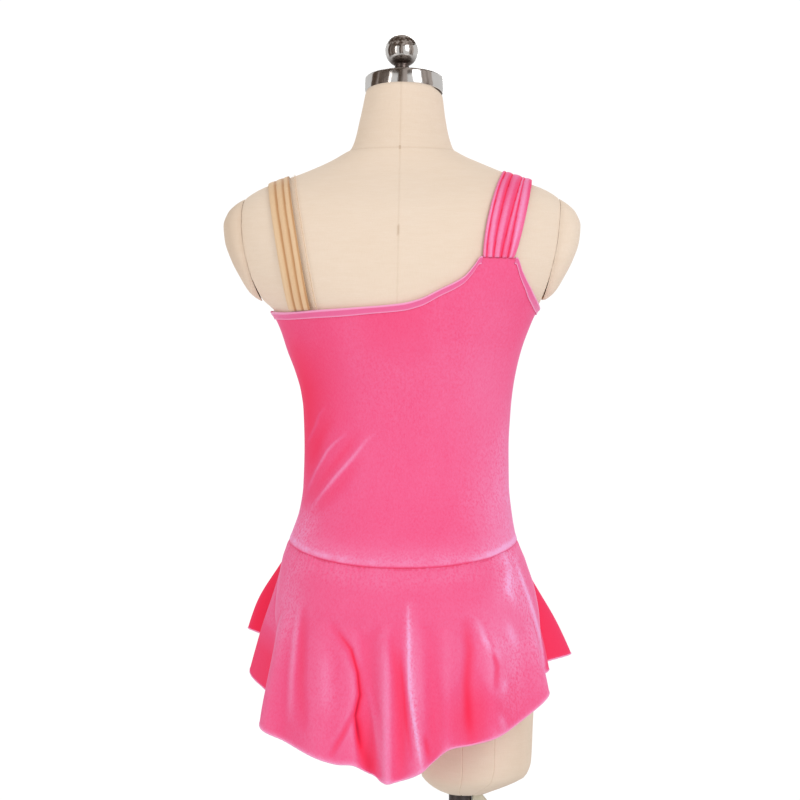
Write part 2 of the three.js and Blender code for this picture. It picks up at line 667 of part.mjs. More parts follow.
function skirtNormal(turn, down) {
  const around = skirtPoint(turn + 0.7, down).sub(skirtPoint(turn - 0.7, down));
  const up = skirtPoint(turn, Math.max(0, down - 0.02)).sub(
    skirtPoint(turn, Math.min(1, down + 0.02)));
  return around.cross(up).normalize();
}

function skirt() {
  const downs = [1, 0.8, 0.6, 0.4, 0.25, 0.13, 0.05, 0]; // closer over the hips
  const part = (name, from, to, columns) => {
    const at = (c, r, lift) => {
      const turn = mix(from + SIDE_SEAM_TURN, to - SIDE_SEAM_TURN, c / columns);
      const down = downs[r];
      return skirtPoint(turn, down).addScaledVector(skirtNormal(turn, down), lift);
    };
    return wall(name, velvet, columns, downs.length - 1,
      (c, r) => at(c, r, 0), (c, r) => at(c, r, WALL));
  };
  return [part('skirt_back', -90, 90, 56), part('skirt_front', 90, 270, 40)];
}

const dress = new THREE.Group();
dress.add(formTorso(), armCap('arm_cap_left', -1), armCap('arm_cap_right', 1));
dress.add(neckGroup(), stand());
dress.add(...bodice(), ...skirt(), ...brief());
dress.add(strap('strap_velvet', velvet, VELVET_STRAP), strap('strap_mesh', nudeMesh, MESH_STRAP));

export default dress;
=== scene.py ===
import math

import bpy
import numpy as np
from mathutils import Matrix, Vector


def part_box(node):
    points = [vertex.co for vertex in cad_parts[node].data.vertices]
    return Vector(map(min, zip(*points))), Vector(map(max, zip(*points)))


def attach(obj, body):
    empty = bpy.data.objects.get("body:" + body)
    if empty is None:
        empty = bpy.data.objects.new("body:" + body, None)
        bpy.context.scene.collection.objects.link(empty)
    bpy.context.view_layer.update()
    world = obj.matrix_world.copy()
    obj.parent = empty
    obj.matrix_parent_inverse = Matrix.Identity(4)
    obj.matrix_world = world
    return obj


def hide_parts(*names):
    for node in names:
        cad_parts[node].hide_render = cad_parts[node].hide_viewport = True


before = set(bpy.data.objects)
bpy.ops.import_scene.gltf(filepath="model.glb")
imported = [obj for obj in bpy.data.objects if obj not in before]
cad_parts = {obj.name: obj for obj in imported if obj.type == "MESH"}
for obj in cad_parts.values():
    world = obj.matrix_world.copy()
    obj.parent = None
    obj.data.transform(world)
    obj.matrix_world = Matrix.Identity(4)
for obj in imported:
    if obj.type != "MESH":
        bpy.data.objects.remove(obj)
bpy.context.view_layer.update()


# The dress form's body: a hard padded shell, covered tightly with unbleached linen. The linen is
# sewn from panels, so that seams run down the middles, down the sides and round the neck.
MM = 0.001 # sizes are written in millimetres, and the meshes are in metres


def between_rows(line, row, place):
    """What a smooth line gives between one row of its table and the next."""
    span = line.place[row + 1] - line.place[row]
    s = (place - line.place[row]) / span
    rise, fall = line.tangent[row] * span, line.tangent[row + 1] * span
    low = line.value[row] * (1 + 2 * s) * (1 - s) ** 2 + rise * s * (1 - s) ** 2
    return low + line.value[row + 1] * s * s * (3 - 2 * s) + fall * s * s * (s - 1)


class Course:
    """A smooth line through the rows of a table, which never overshoots them."""

    def __init__(self, places, values):
        order = np.argsort(places)
        self.place = np.array(places, float)[order]
        self.value = np.array(values, float)[order]
        slope = np.diff(self.value) / np.diff(self.place)
        before, after = slope[:-1], slope[1:]
        total = np.where(before + after == 0, 1, before + after)
        inner = np.where(before * after > 0, 2 * before * after / total, 0)
        self.tangent = np.concatenate([slope[:1], inner, slope[-1:]])

    def __call__(self, place):
        place = np.clip(place, self.place[0], self.place[-1])
        row = np.clip(np.searchsorted(self.place, place, side="right") - 1, 0, len(self.place) - 2)
        return between_rows(self, row, place)


# Height in millimetres, then the surface's distance to the left, right, front and back, and how
# square the section is.
FORM_ROWS = [
    (458, -52, 100, 15, 35, 2), (462.5, -42, 110, 30, 50, 2), (470, -31, 129, 46, 66, 2),
    (480, -23, 147, 56, 76, 2), (497, -21, 153, 61, 81, 2), (540, -19, 155, 64, 86, 2),
    (566, -12, 156, 68, 94, 2), (582, 6, 156, 74, 105, 2), (593, 45, 157, 80, 115, 2.05),
    (604, 88, 157, 84, 121, 2.1), (620, 120, 157, 88, 126, 2.15), (642, 137, 157, 91, 130, 2.2),
    (670, 143, 155, 94, 131, 2.2), (700, 141, 149, 96, 127, 2.2), (730, 136, 140, 97, 117, 2.2),
    (757, 129.5, 132, 97, 104, 2.2), (794, 117.4, 126, 92, 89, 2.2),
    (822, 113.3, 123.3, 88, 82, 2.2), (868, 112, 122.7, 85, 78, 2.2),
    (912, 113.3, 125, 88, 82, 2.2), (935, 116.3, 127.5, 91, 86, 2.2),
    (958, 122.7, 131.5, 94, 92, 2.2), (984, 132.4, 138, 98, 99, 2.2),
    (1009, 140.7, 147, 102, 105, 2.2), (1029, 151, 156, 105, 109, 2.2),
    (1042, 165, 166, 106, 111, 2.2), (1054, 177, 176, 106, 112, 2.2),
    (1072, 189, 186, 104, 113, 2.2), (1096, 198, 195, 98, 111, 2.2),
    (1120, 201, 198, 87, 106, 2.2), (1144, 197, 195, 75, 97, 2.2),
    (1159, 187.5, 188, 65, 88, 2.2), (1172, 169, 170, 54, 78, 2.15),
    (1179, 152, 152, 50, 73, 2.1), (1191, 120, 125, 45, 64, 2.05), (1205, 88, 92, 44, 57, 2),
    (1214, 72, 72, 45, 54, 2), (1222, 60, 60.5, 47, 52, 2), (1257, 50, 52, 50, 46, 2),
    (1290, 43, 48.5, 54, 43, 2),
]
form_z, *form_columns = zip(*FORM_ROWS)
form_left, form_right, form_front, form_back, form_round = [Course(form_z, c) for c in form_columns]
STUMP_BOTTOM, NECK_TOP, NECK_TILT_FROM = 458, 1290, 1235
NECK_TILT, NECK_ROLL = math.radians(9.2), math.radians(1.6)
NECK_SLUMP, NECK_SLUMP_FROM = 0.3, 34 # the linen sags under the plate's right side
BUST_HEIGHT, BUST_APEX, BUST_SPREAD, BUST_DEPTH, BUST_HOLLOW = 1012, 62, 58, 30, 0.22

# The armholes' planes on the left and right, and how far their pads stand out
ARMHOLE_ROWS = [
    (1161, 186, 186, 187), (1154, 187.5, 186.5, 197.5), (1145, 188.5, 186, 206),
    (1130, 188.5, 184.5, 211.5), (1112, 187, 182.5, 210), (1088, 182.5, 178, 202),
    (1068, 177, 173, 191.5), (1052, 170, 168, 181), (1045, 166.5, 165.5, 173),
    (1041, 164, 164, 166),
]
armhole_z, *armhole_columns = zip(*ARMHOLE_ROWS)
armhole_left, armhole_right, armhole_out = [Course(armhole_z, c) for c in armhole_columns]
ARMHOLE_LOW, ARMHOLE_HIGH = 1041, 1161


def signed_power(value, power):
    return np.sign(value) * np.abs(value) ** power


def form_section(z):
    """Middle, half width, half depth and squareness of the form's level section."""
    left, right, front, back = form_left(z), form_right(z), form_front(z), form_back(z)
    middle = ((right - left) / 2, (front - back) / 2)
    return *middle, (right + left) / 2, (front + back) / 2, form_round(z)


def form_points(turn, z):
    """Points on the form, in millimetres. turn is 0 at the back, 90 at the wearer's right."""
    turn, z = np.broadcast_arrays(np.asarray(turn, float), np.asarray(z, float))
    mid_x, mid_y, half_width, half_depth, square = form_section(z)
    sine, cosine = np.sin(np.radians(turn)), np.cos(np.radians(turn))
    x = mid_x + half_width * signed_power(sine, 2 / square)
    y = mid_y - half_depth * signed_power(cosine, 2 / square)
    across = np.maximum(0, np.abs(x) - BUST_APEX) / BUST_SPREAD
    inward = 1 + np.cos(np.pi * np.minimum(1, np.abs(x) / BUST_APEX))
    up = (z - BUST_HEIGHT) / BUST_SPREAD
    swell = (1 - BUST_HOLLOW * inward / 2) * np.exp(-across ** 2 - up ** 2)
    y = y + BUST_DEPTH * np.maximum(0, -cosine) * swell
    neck = np.clip((z - NECK_TILT_FROM) / (NECK_TOP - NECK_TILT_FROM), 0, 1)
    lean = -y * math.tan(NECK_TILT) - x * math.tan(NECK_ROLL)
    slump = NECK_SLUMP * np.maximum(0, x - NECK_SLUMP_FROM) * neck ** 4
    return np.stack([x, y, z + neck * lean - slump], axis=-1)


def form_normals(turn, z):
    turn, z = np.broadcast_arrays(np.asarray(turn, float), np.asarray(z, float))
    around = form_points(turn + 0.6, z) - form_points(turn - 0.6, z)
    up = form_points(turn, z + 0.8) - form_points(turn, z - 0.8)
    normal = np.cross(around, up)
    return normal / np.linalg.norm(normal, axis=-1, keepdims=True)


def lifted(turn, z, off):
    """Points that stand off the form along its normal."""
    return form_points(turn, z) + form_normals(turn, z) * np.asarray(off)[..., None]


def bump(distance, width):
    """A soft hill, 1 at its middle."""
    return np.exp(-(distance / width) ** 2)


def gathered_steps(low, high, count, places, reach, fine):
    """Even steps with closer ones round some places, as where a seam sinks in."""
    steps = [np.linspace(low, high, count)]
    steps += [np.arange(p - reach, p + reach, fine) for p in places]
    steps = np.unique(np.round(np.concatenate(steps), 3))
    steps = steps[(steps >= low) & (steps <= high)]
    keep = [steps[0]]
    for step in steps[1:-1]:
        if step - keep[-1] > fine * 0.6:
            keep.append(step)
    return np.array([*keep, steps[-1]])


def grid_piece(name, grid, finish, around=False, closed=False):
    """A mesh over rows of points in millimetres, columns to the right as seen from outside."""
    rows, columns = grid.shape[:2]
    across = columns if around else columns - 1
    r, c = np.meshgrid(np.arange(rows - 1), np.arange(across), indexing="ij")
    a, b = r * columns + c, r * columns + (c + 1) % columns
    faces = np.stack([a, b, b + columns, a + columns], axis=-1).reshape(-1, 4).tolist()
    points = grid.reshape(-1, 3)
    if closed:
        points = np.concatenate([points, [grid[0].mean(0), grid[-1].mean(0)]])
        low, high, top = len(points) - 2, len(points) - 1, (rows - 1) * columns
        for c in range(columns):
            n = (c + 1) % columns
            faces += [(low, n, c), (high, top + c, top + n)]
    mesh = bpy.data.meshes.new(name)
    mesh.from_pydata((points * MM).tolist(), [], faces)
    mesh.polygons.foreach_set("use_smooth", [True] * len(mesh.polygons))
    mesh.materials.append(finish)
    piece = bpy.data.objects.new(name, mesh)
    bpy.context.scene.collection.objects.link(piece)
    return piece


def thread_tone(r, g, b):
    """A colour seen on screen, from 0 to 255, as light."""
    return (*[(v / 255) ** 2.2 for v in (r, g, b)], 1)


class Wire:
    """What leaves a shader node. Python sums on wires add Math nodes."""

    def __init__(self, finish, socket):
        self.finish = finish
        self.socket = socket

    def maths(self, operation, *values):
        return self.finish.node("Math", {"operation": operation}, dict(enumerate(values)))

    def __add__(self, other):
        return self.maths("ADD", self, other)

    def __sub__(self, other):
        return self.maths("SUBTRACT", self, other)

    def __rsub__(self, other):
        return self.maths("SUBTRACT", other, self)

    def __mul__(self, other):
        return self.maths("MULTIPLY", self, other)

    def __pow__(self, other):
        return self.maths("POWER", self, other)

    __radd__ = __add__
    __rmul__ = __mul__

    def kept(self, low=0, high=1):
        """The value, kept between two limits."""
        return self.maths("MINIMUM", self.maths("MAXIMUM", self, low), high)


class Finish:
    """A material, whose nodes all come from one method."""

    def __init__(self, name, library=bpy.data.materials):
        self.material = library.new(name)
        self.material.use_nodes = True
        self.tree = self.material.node_tree
        self.tree.nodes.clear()

    def node(self, kind, settings=None, sockets=None, out=0):
        """The output of a new node, whose settings are set first and then its sockets."""
        node = self.tree.nodes.new("ShaderNode" + kind)
        for key, value in (settings or {}).items():
            setattr(node, key, value)
        for key, value in (sockets or {}).items():
            if isinstance(value, Wire):
                self.tree.links.new(value.socket, node.inputs[key])
            else:
                node.inputs[key].default_value = value
        return Wire(self, node.outputs[out])

    def place(self, x, y, z):
        """The surface's own place in metres, scaled along each axis."""
        where = self.node("TexCoord", out="Object")
        return self.node("Mapping", {"vector_type": "POINT"}, {"Vector": where, "Scale": (x, y, z)})

    def noise(self, x, y, z, detail=2, rough=0.5):
        return self.node("TexNoise", {}, {
            "Vector": self.place(x, y, z), "Scale": 1, "Detail": detail, "Roughness": rough,
        })

    def marked(self, name):
        """The number that mark() has kept for each point under a name."""
        return self.node("Attribute", {"attribute_name": name}, {}, out="Fac")

    def rim(self, blend):
        return self.node("LayerWeight", {}, {"Blend": blend}, out="Facing")

    def blend(self, share, first, second):
        """One colour turning into another."""
        return self.node("Mix", {"data_type": "RGBA"}, {0: share, 6: first, 7: second}, out=2)

    def relief(self, height, depth, strength=1):
        return self.node("Bump", {}, {"Height": height, "Distance": depth, "Strength": strength})

    def surface(self, **sockets):
        named = {key.replace("_", " "): value for key, value in sockets.items()}
        self.end("Material", self.node("BsdfPrincipled", {}, named))
        return self.material

    def end(self, kind, shader):
        output = self.tree.nodes.new("ShaderNodeOutput" + kind)
        self.tree.links.new(shader.socket, output.inputs["Surface"])


def linen_finish():
    linen = Finish("linen")
    warp = linen.noise(1500, 1500, 90, detail=1)
    weft = linen.noise(90, 90, 1500, detail=1)
    slub = linen.noise(35, 35, 260, detail=3)
    cloud = linen.noise(9, 9, 9, detail=2)
    thread = (warp + weft) * 0.5
    seam = linen.marked("seam")
    light, dark = thread_tone(244, 228, 211), thread_tone(231, 209, 184)
    tone = linen.blend((thread * 0.7 + slub * 0.35 + cloud * 0.35 - 0.2).kept(), dark, light)
    # The seam mark also carries painted shade on the stump, round the neck and on the left pad.
    tone = linen.blend(seam * 0.6, tone, thread_tone(176, 146, 116))
    relief = linen.relief(thread + slub * 0.5, 0.0003, 0.5)
    return linen.surface(Base_Color=tone, Roughness=0.85 + thread * 0.1, Normal=relief,
                         Sheen_Weight=0.12, Sheen_Roughness=0.5, Specular_IOR_Level=0.2)


LINEN = linen_finish()


def mark(piece, name, values):
    """Keeps one number for each of a mesh's points, which its finish reads."""
    layer = piece.data.attributes.new(name, "FLOAT", "POINT")
    flat = np.zeros(len(piece.data.vertices), np.float32)
    flat[:values.size] = values.ravel()
    layer.data.foreach_set("value", flat)


NECK_SEAM_Z = 1219.2
SEAM_SINK, SEAM_PUFF = 0.45, 0.25
SEAM_DARK = 0.22
STUMP_SEAMS = (-15.4, 17.2) # the turns of the short seams down the stump's back
STUMP_SEAM_TOP = 596
ARMHOLE_MIDDLE, SIDE_SEAM_STOP = 1100, 62 # the side seams stop under and over the armholes
OPEN_STITCH_Z = 1117


def back_seam_x(z):
    """The middle seam leans a little towards the wearer's left on its way down."""
    return -1 - (1300 - z) * 0.019


def form_cover():
    seam_turns = (-180, -90, STUMP_SEAMS[0], -1, STUMP_SEAMS[1], 90, 180)
    turns = gathered_steps(-180, 180, 241, seam_turns, 3.4, 0.24)[:-1]
    heights = gathered_steps(STUMP_BOTTOM, NECK_TOP, 210, (NECK_SEAM_Z,), 4, 0.5)
    turn, z = np.meshgrid(turns, heights)
    bare = form_points(turn, z)
    to_middle = bare[..., 0] - np.where(np.abs(turn) < 90, back_seam_x(z), 0)
    radius = form_section(z)[3]
    to_side = np.radians(np.abs(np.abs(turn) - 90)) * radius
    seam = bump(to_middle, 0.9)
    seam += bump(to_side, 0.8) * (np.abs(z - ARMHOLE_MIDDLE) > SIDE_SEAM_STOP)
    for place in STUMP_SEAMS:
        seam = seam + bump(np.radians(turn - place) * radius, 0.7) * (z < STUMP_SEAM_TOP)
    seam = np.minimum(1, seam + bump(z - NECK_SEAM_Z, 0.9))
    puffed = bump(to_middle, 4) + bump(z - NECK_SEAM_Z, 4)
    grid = lifted(turn, z, SEAM_PUFF * puffed - SEAM_SINK * seam)
    inside = (z > ARMHOLE_LOW) & (z < ARMHOLE_HIGH)
    cut = np.clip(grid[..., 0], -armhole_left(z), armhole_right(z))
    grid[..., 0] = np.where(inside, cut, grid[..., 0])
    body = grid_piece("form_body", grid, LINEN, around=True, closed=True)
    loose = (np.abs(z - OPEN_STITCH_Z) < 6) + (np.abs(z - NECK_SEAM_Z) < 2.5)
    open_stitch = bump(to_middle, 1.1) * loose * (np.abs(turn) < 90)
    # Painted shade: the stump's side towards the wearer's right, and the shoulders and neck above the
    # armholes, more towards the top.
    painted_shade = 0.3 * np.clip((turn - 20) / 30, 0, 1) * (z < 620)
    painted_shade += 0.1 * np.clip((z - ARMHOLE_HIGH + 1) / 60, 0, 1)
    mark(body, "seam", np.clip(seam * SEAM_DARK + open_stitch + painted_shade, 0, 1))
    return body


form_body = form_cover()


def settled(piece, node):
    """Fixes a piece to the one body, in the place of a plain solid."""
    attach(piece, "root")
    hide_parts(node)
    return piece


settled(form_body, "form_torso")


# The shoulder pads: round boards padded and covered with the same linen, held against the
# armholes' flat planes by magnets inside. Their covers turn in round a soft edge.
PAD_GAP, PAD_HANG, PAD_HANG_FROM, PAD_RIM = 0.02, 2, 1076, 0.16


def shoulder_pad(name, node, side):
    pad_low = ARMHOLE_LOW + (2.2 if side > 0 else 0.6)
    heights = pad_low + (ARMHOLE_HIGH - pad_low) * (
        0.5 - 0.5 * np.cos(np.pi * np.linspace(0.012, 0.988, 70)))
    angles = np.radians(90) * np.sin(np.linspace(-1, 1, 61) * np.pi / 2)
    angle, z = np.meshgrid(angles, heights)
    mid_x, mid_y, half_width, half_depth, square = form_section(z)
    plane = armhole_right(z) if side > 0 else armhole_left(z)
    reach = np.clip((plane - side * mid_x) / half_width, 0, 0.9999)
    depth = half_depth * (1 - reach ** square) ** (1 / square)
    rim = bump((np.abs(angle) - np.pi / 2) * 30, 1.6)
    hang = PAD_HANG * np.clip((PAD_HANG_FROM - z) / 34, 0, 1) ** 1.5
    plane = plane + hang
    out = np.maximum(armhole_out(z) + 0.5 * hang, plane + 1)
    x = plane + PAD_GAP + (out - plane - PAD_GAP) * np.cos(angle) ** 0.62
    y = mid_y + (depth + 0.3 - PAD_RIM * rim) * np.sin(angle) * side
    outside = np.stack([side * x, y, z], axis=-1)
    back = outside[:, ::-1].copy()
    back[..., 0] = side * (plane + PAD_GAP)
    grid = np.concatenate([outside, back[:, 1:-1]], axis=1)
    pad = grid_piece(name, grid, LINEN, around=True, closed=True)
    edge = np.concatenate([rim, np.zeros_like(back[:, 1:-1, 0])], axis=1)
    # Painted shade on the left pad, darkest on its outside towards the back.
    behind = np.clip(0.35 - grid[..., 1] / 60, 0, 1)
    painted_shade = (side < 0) * bump(np.abs(grid[..., 0]) - 206, 26) * behind ** 2 * (3 - 2 * behind)
    mark(pad, "seam", edge * 0.12 + painted_shade * 0.5)
    settled(pad, node)


shoulder_pad("shoulder_pad_left", "arm_cap_left", -1)
shoulder_pad("shoulder_pad_right", "arm_cap_right", 1)


# The neck plate and its ball knob: turned steel, chromed and polished. The plate's rim bulges,
# and the knob's stem screws down into it.
def chrome_finish():
    chrome = Finish("polished_chrome")
    wipe = chrome.noise(60, 60, 60, detail=3)
    # A mark that darkens and roughens the chrome: painted shade and painted dark reflection.
    painted_chrome_shade = chrome.marked("painted_chrome_shade")
    tone = chrome.blend(wipe, (0.74, 0.71, 0.68, 1), (0.87, 0.86, 0.85, 1))
    return chrome.surface(Base_Color=chrome.blend(painted_chrome_shade, tone, (0.09, 0.06, 0.05, 1)), Metallic=1,
                          Roughness=0.07 + wipe * 0.08 + painted_chrome_shade * 0.25)


CHROME = chrome_finish()
PLATE_SEGMENTS = 128


def turned(name, finish, profile, middle=(0, 0, 0), lean=0, segments=PLATE_SEGMENTS):
    """A turned piece from pairs of radius and height, which leans forward or back."""
    profile = np.array(profile, float)
    angle = np.linspace(0, 2 * np.pi, segments, endpoint=False)
    radius = profile[:, :1]
    grid = np.stack([radius * np.cos(angle), radius * np.sin(angle),
                     np.repeat(profile[:, 1:], segments, axis=1)], axis=-1)
    leaning = np.array([[1, 0, 0], [0, math.cos(lean), -math.sin(lean)],
                        [0, math.sin(lean), math.cos(lean)]])
    grid = grid @ leaning.T + np.array(middle, float)
    return grid_piece(name, grid, finish, around=True, closed=True)


def arc(centre, radius, start, end, count):
    """Points of an arc in a profile, with angles in degrees from the outward axis."""
    angle = np.radians(np.linspace(start, end, count))
    return [(centre[0] + radius * math.cos(a), centre[1] + radius * math.sin(a)) for a in angle]


PLATE_LIFT, PLATE_HEIGHT = 1.7, 21.7
neck_mid_x, neck_mid_y = form_section(np.array(float(NECK_TOP)))[:2]
neck_sides = form_points([90, -90], NECK_TOP)
plate_middle = np.array([neck_mid_x, neck_mid_y, neck_sides[:, 2].mean() + PLATE_LIFT])
neck_plate = turned("neck_plate_chrome", CHROME, [
    (0.01, 0), (44.6, 0), *arc((45, 1.2), 1.2, -90, -10, 6), (46.9, 3), (47, 9.5), (46.9, 16),
    *arc((45, 17.2), 1.8, 8, 90, 7), (40, 19.4), (21, 20.9), (0.01, 21.4),
], plate_middle, -NECK_TILT)
# Painted dark reflection on the plate's underside.
underside = np.zeros((len(neck_plate.data.vertices) // PLATE_SEGMENTS, PLATE_SEGMENTS))
underside[:3] = 1
mark(neck_plate, "painted_chrome_shade", underside)
settled(neck_plate, "neck_plate")

BALL_RADIUS, STEM_RADIUS, STEM_HEIGHT, KNOB_ASIDE = 19.9, 9, 13.6, -2.9
ball_start = math.degrees(math.asin(STEM_RADIUS / BALL_RADIUS)) - 90
ball_centre = STEM_HEIGHT + BALL_RADIUS * math.cos(math.radians(ball_start + 90))
knob_up = np.array([0, math.sin(NECK_TILT), math.cos(NECK_TILT)])
knob_middle = plate_middle + knob_up * PLATE_HEIGHT + np.array([KNOB_ASIDE, 0, 0])
knob = turned("ball_knob", CHROME, [
    (0.01, 0), (11.4, 0), *arc((11.2, 0.9), 0.9, -80, 80, 6), (9.4, 3), (STEM_RADIUS, 4.4),
    (8.6, 9), (8.4, 13), (STEM_RADIUS, STEM_HEIGHT),
    *arc((0, ball_centre), BALL_RADIUS, ball_start, 89.9, 60),
], knob_middle, -NECK_TILT)
STEM_ROWS, SHADED_ROWS, KNOB_ROWS = 17, 12, 73 # the profile's rows, counted from the stem's foot
# Painted shade and dark reflection on the stem and the ball's lower part, fading upwards.
stem_shade = np.clip((STEM_ROWS + SHADED_ROWS - np.arange(KNOB_ROWS)) / SHADED_ROWS, 0, 0.92)
mark(knob, "painted_chrome_shade", np.repeat(stem_shade[:, None], PLATE_SEGMENTS, axis=1))
settled(knob, "knob")


# The stand: a steel tube that is fixed under the stump and set in a socket on a heavy round base
# plate. All of it is painted dark, and a moulded cream lug sits under the stump beside the pole.
def paint_finish():
    paint = Finish("dark_paint")
    peel = paint.noise(420, 420, 420, detail=2)
    dust = paint.noise(14, 14, 40, detail=4)
    tone = paint.blend(dust, thread_tone(58, 52, 52), thread_tone(82, 76, 76))
    return paint.surface(Base_Color=tone, Roughness=0.28 + dust * 0.2, Metallic=0.3,
                         Normal=paint.relief(peel, 0.0001, 0.4))


def cream_finish():
    cream = Finish("cream_plastic")
    grain = cream.noise(700, 700, 700, detail=2)
    tone = cream.blend(grain, thread_tone(205, 200, 178), thread_tone(220, 215, 194))
    return cream.surface(Base_Color=tone, Roughness=0.42 + grain * 0.1,
                         Normal=cream.relief(grain, 0.0001, 0.3))


DARK_PAINT = paint_finish()
POLE_X, POLE_Y, POLE_RADIUS = 69, -10, 13.5
POLE_SPOTS = [(POLE_RADIUS, z) for z in (50, 200, 400)]
base_plate = turned("base_plate", DARK_PAINT, [
    (0.01, 0), (183.4, 0), *arc((183.4, 1.6), 1.6, -90, 0, 6), (185, 6), *arc((182, 7), 3, 0, 90, 10),
    (120, 10), (60, 10), (0.01, 10),
], segments=160)
socket = turned("pole_collar", DARK_PAINT, [
    (14.3, 0.2), (23.2, 0.2), *arc((23.2, 1), 0.8, -90, 0, 5), (24, 20),
    *arc((20.6, 28.6), 3.4, 0, 90, 9), *arc((15.3, 31), 1, 90, 180, 5), (14.3, 20),
], (POLE_X, POLE_Y, 10.2))
pole = turned("stand_pole", DARK_PAINT, [
    (0.01, 0), (13.1, 0), *arc((13.1, 0.4), 0.4, -90, 0, 4), *POLE_SPOTS,
    *arc((13.1, 447), 0.4, 0, 90, 4), (0.01, 447.4),
], (POLE_X, POLE_Y, 10.3))
for piece, node in ((base_plate, "base"), (socket, "pole_socket"), (pole, "pole")):
    settled(piece, node)

LUG_OUTLINE = [(0, 0), (0, -28), (13.6, -28), (21, -21), (21, -12.6), (10.6, 0)]
LUG_RAISED = 3 # mm nearer to the stump than the plain lug
# How deep each ring of the lug lies, and its size beside the outline: the edges are rounded
LUG_RINGS = [(0, 0.9), (0.6, 0.97), (1.6, 1), (12.4, 1), (13.4, 0.97), (14, 0.9)]


def lug():
    low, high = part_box("pole_lug")
    start = Vector((low.x, low.y, high.z)) / MM + Vector((0, 0, LUG_RAISED))
    corners = np.array(LUG_OUTLINE, float)
    centre = corners.mean(0)
    rings = []
    for depth, shrink in LUG_RINGS:
        ring = [centre + (a + (b - a) * share - centre) * shrink
                for a, b in zip(corners, np.roll(corners, -1, axis=0))
                for share in (0.08, 0.3, 0.7, 0.92)]
        rings.append([(start.x + x, start.y + depth, start.z + z) for x, z in ring])
    return grid_piece("stand_lug", np.array(rings, float), cream_finish(), around=True, closed=True)


settled(lug(), "pole_lug")


# The brief under the skirt: two shaped pieces of the same stretch velvet, close on the form and
# sewn at the sides and the crotch. Stretch velvet is a knit with a short dense pile.
def velvet_finish():
    velvet = Finish("stretch_velvet")
    nap = velvet.noise(620, 620, 330, detail=2, rough=0.6)
    fleck = velvet.noise(1300, 1300, 900, detail=1)
    cloud = velvet.noise(13, 13, 8, detail=2)
    patch = velvet.noise(48, 48, 30, detail=3, rough=0.6)
    grit = velvet.noise(430, 430, 330, detail=2)
    # Two marks are painted light: the first holds painted highlight and painted shade, the second a
    # painted glint.
    painted_shading = velvet.marked("painted_shading")
    painted_glint = velvet.marked("painted_glint")
    edge = velvet.rim(0.3)
    middle, light = thread_tone(245, 83, 132), thread_tone(250, 176, 222)
    # light also serves as the painted highlight's tone, and deep as painted shade's.
    deep = thread_tone(252, 54, 90)
    tone = velvet.blend((cloud * 0.5 + nap * 0.7 - 0.3).kept() * 0.3, middle, light)
    # silver is a speckled painted glint.
    silver = painted_glint * (0.25 + patch * 0.9) * (grit * 4 - 1.3).kept()
    tone = velvet.blend((painted_shading * (0.55 + nap * 0.9) + silver * 0.75).kept(), tone, light)
    tone = velvet.blend((painted_shading * -1).kept(), tone, deep)
    # The darkest red is painted shade in the deepest creases.
    tone = velvet.blend((-1 - painted_shading).kept() * 0.9, tone, thread_tone(176, 22, 58))
    # The rim lightens the colour at grazing angles, a sheen worked into the colour.
    tone = velvet.blend((edge ** 4 * (1 + painted_shading.kept(-1, 0)) * 0.9).kept(), tone, light)
    height = nap * 0.5 + fleck * 0.6
    return velvet.surface(Base_Color=tone, Roughness=0.8 + fleck * 0.15,
                          Normal=velvet.relief(height, 0.0004, 0.3), Specular_IOR_Level=0.1,
                          Sheen_Weight=0.2, Sheen_Roughness=0.3,
                          Sheen_Tint=thread_tone(255, 185, 225))


VELVET = velvet_finish()


def thicken(piece, thickness):
    """Gives a sheet its thickness, inwards from the side that shows."""
    shell = piece.modifiers.new("thickness", "SOLIDIFY")
    shell.thickness = thickness * MM
    shell.offset = -1
    return piece


SEAM_BACK, SEAM_SIDE, SEAM_FRONT = 729, 757, 730
CLOTH_OFF = 3.9 # how far the cloth's outer side stands off the form


def seam_height(turn):
    """The hip seam's height: it dips at the middle of the back and the front."""
    cosine = np.cos(np.radians(turn))
    drop = np.where(cosine > 0, SEAM_SIDE - SEAM_BACK, SEAM_SIDE - SEAM_FRONT)
    return SEAM_SIDE - drop * np.abs(cosine) ** 1.3


# How far down, then the turn and height of the brief's left and right edge
BRIEF_ROWS = [
    (0, -90, 757, 90, 757), (0.3, -90, 694, 90, 694), (0.55, -50, 646, 40, 646),
    (0.7, -41, 612, 12, 612), (0.82, -55, 597, -22, 594), (1, -90, 590, -90, 572),
]
brief_down, *brief_columns = zip(*BRIEF_ROWS)
brief_edges = [Course(brief_down, c) for c in brief_columns]
BRIEF_LEG = 0.3 # the share of the height that is above the legs' openings


def brief_half(name, front):
    share, down = np.meshgrid(np.linspace(0, 1, 61), np.linspace(1, 0, 91))
    if front:
        share = 1 - share
    left_turn, left_z, right_turn, right_z = [edge(down) for edge in brief_edges]
    turn = np.clip(left_turn + (right_turn - left_turn) * share, -89.9, 89.9)
    shown = 180 - turn if front else turn
    z = left_z + (right_z - left_z) * share
    z = z + (seam_height(shown) - 1 - SEAM_SIDE) * np.maximum(0, 1 - down / BRIEF_LEG)
    side = np.minimum(share, 1 - share) * 60
    hem = 0.5 * bump(side - 1.2, 1) * (down > BRIEF_LEG)
    grid = lifted(shown, z, CLOTH_OFF + hem + 0.15 * np.sin(z / 9) * np.sin(shown / 7))
    piece = grid_piece(name, grid, VELVET)
    return settled(thicken(piece, 1.2), "brief_front" if front else "brief_back")


brief_back_cloth = brief_half("brief_back_cloth", False)
brief_front_cloth = brief_half("brief_front_cloth", True)


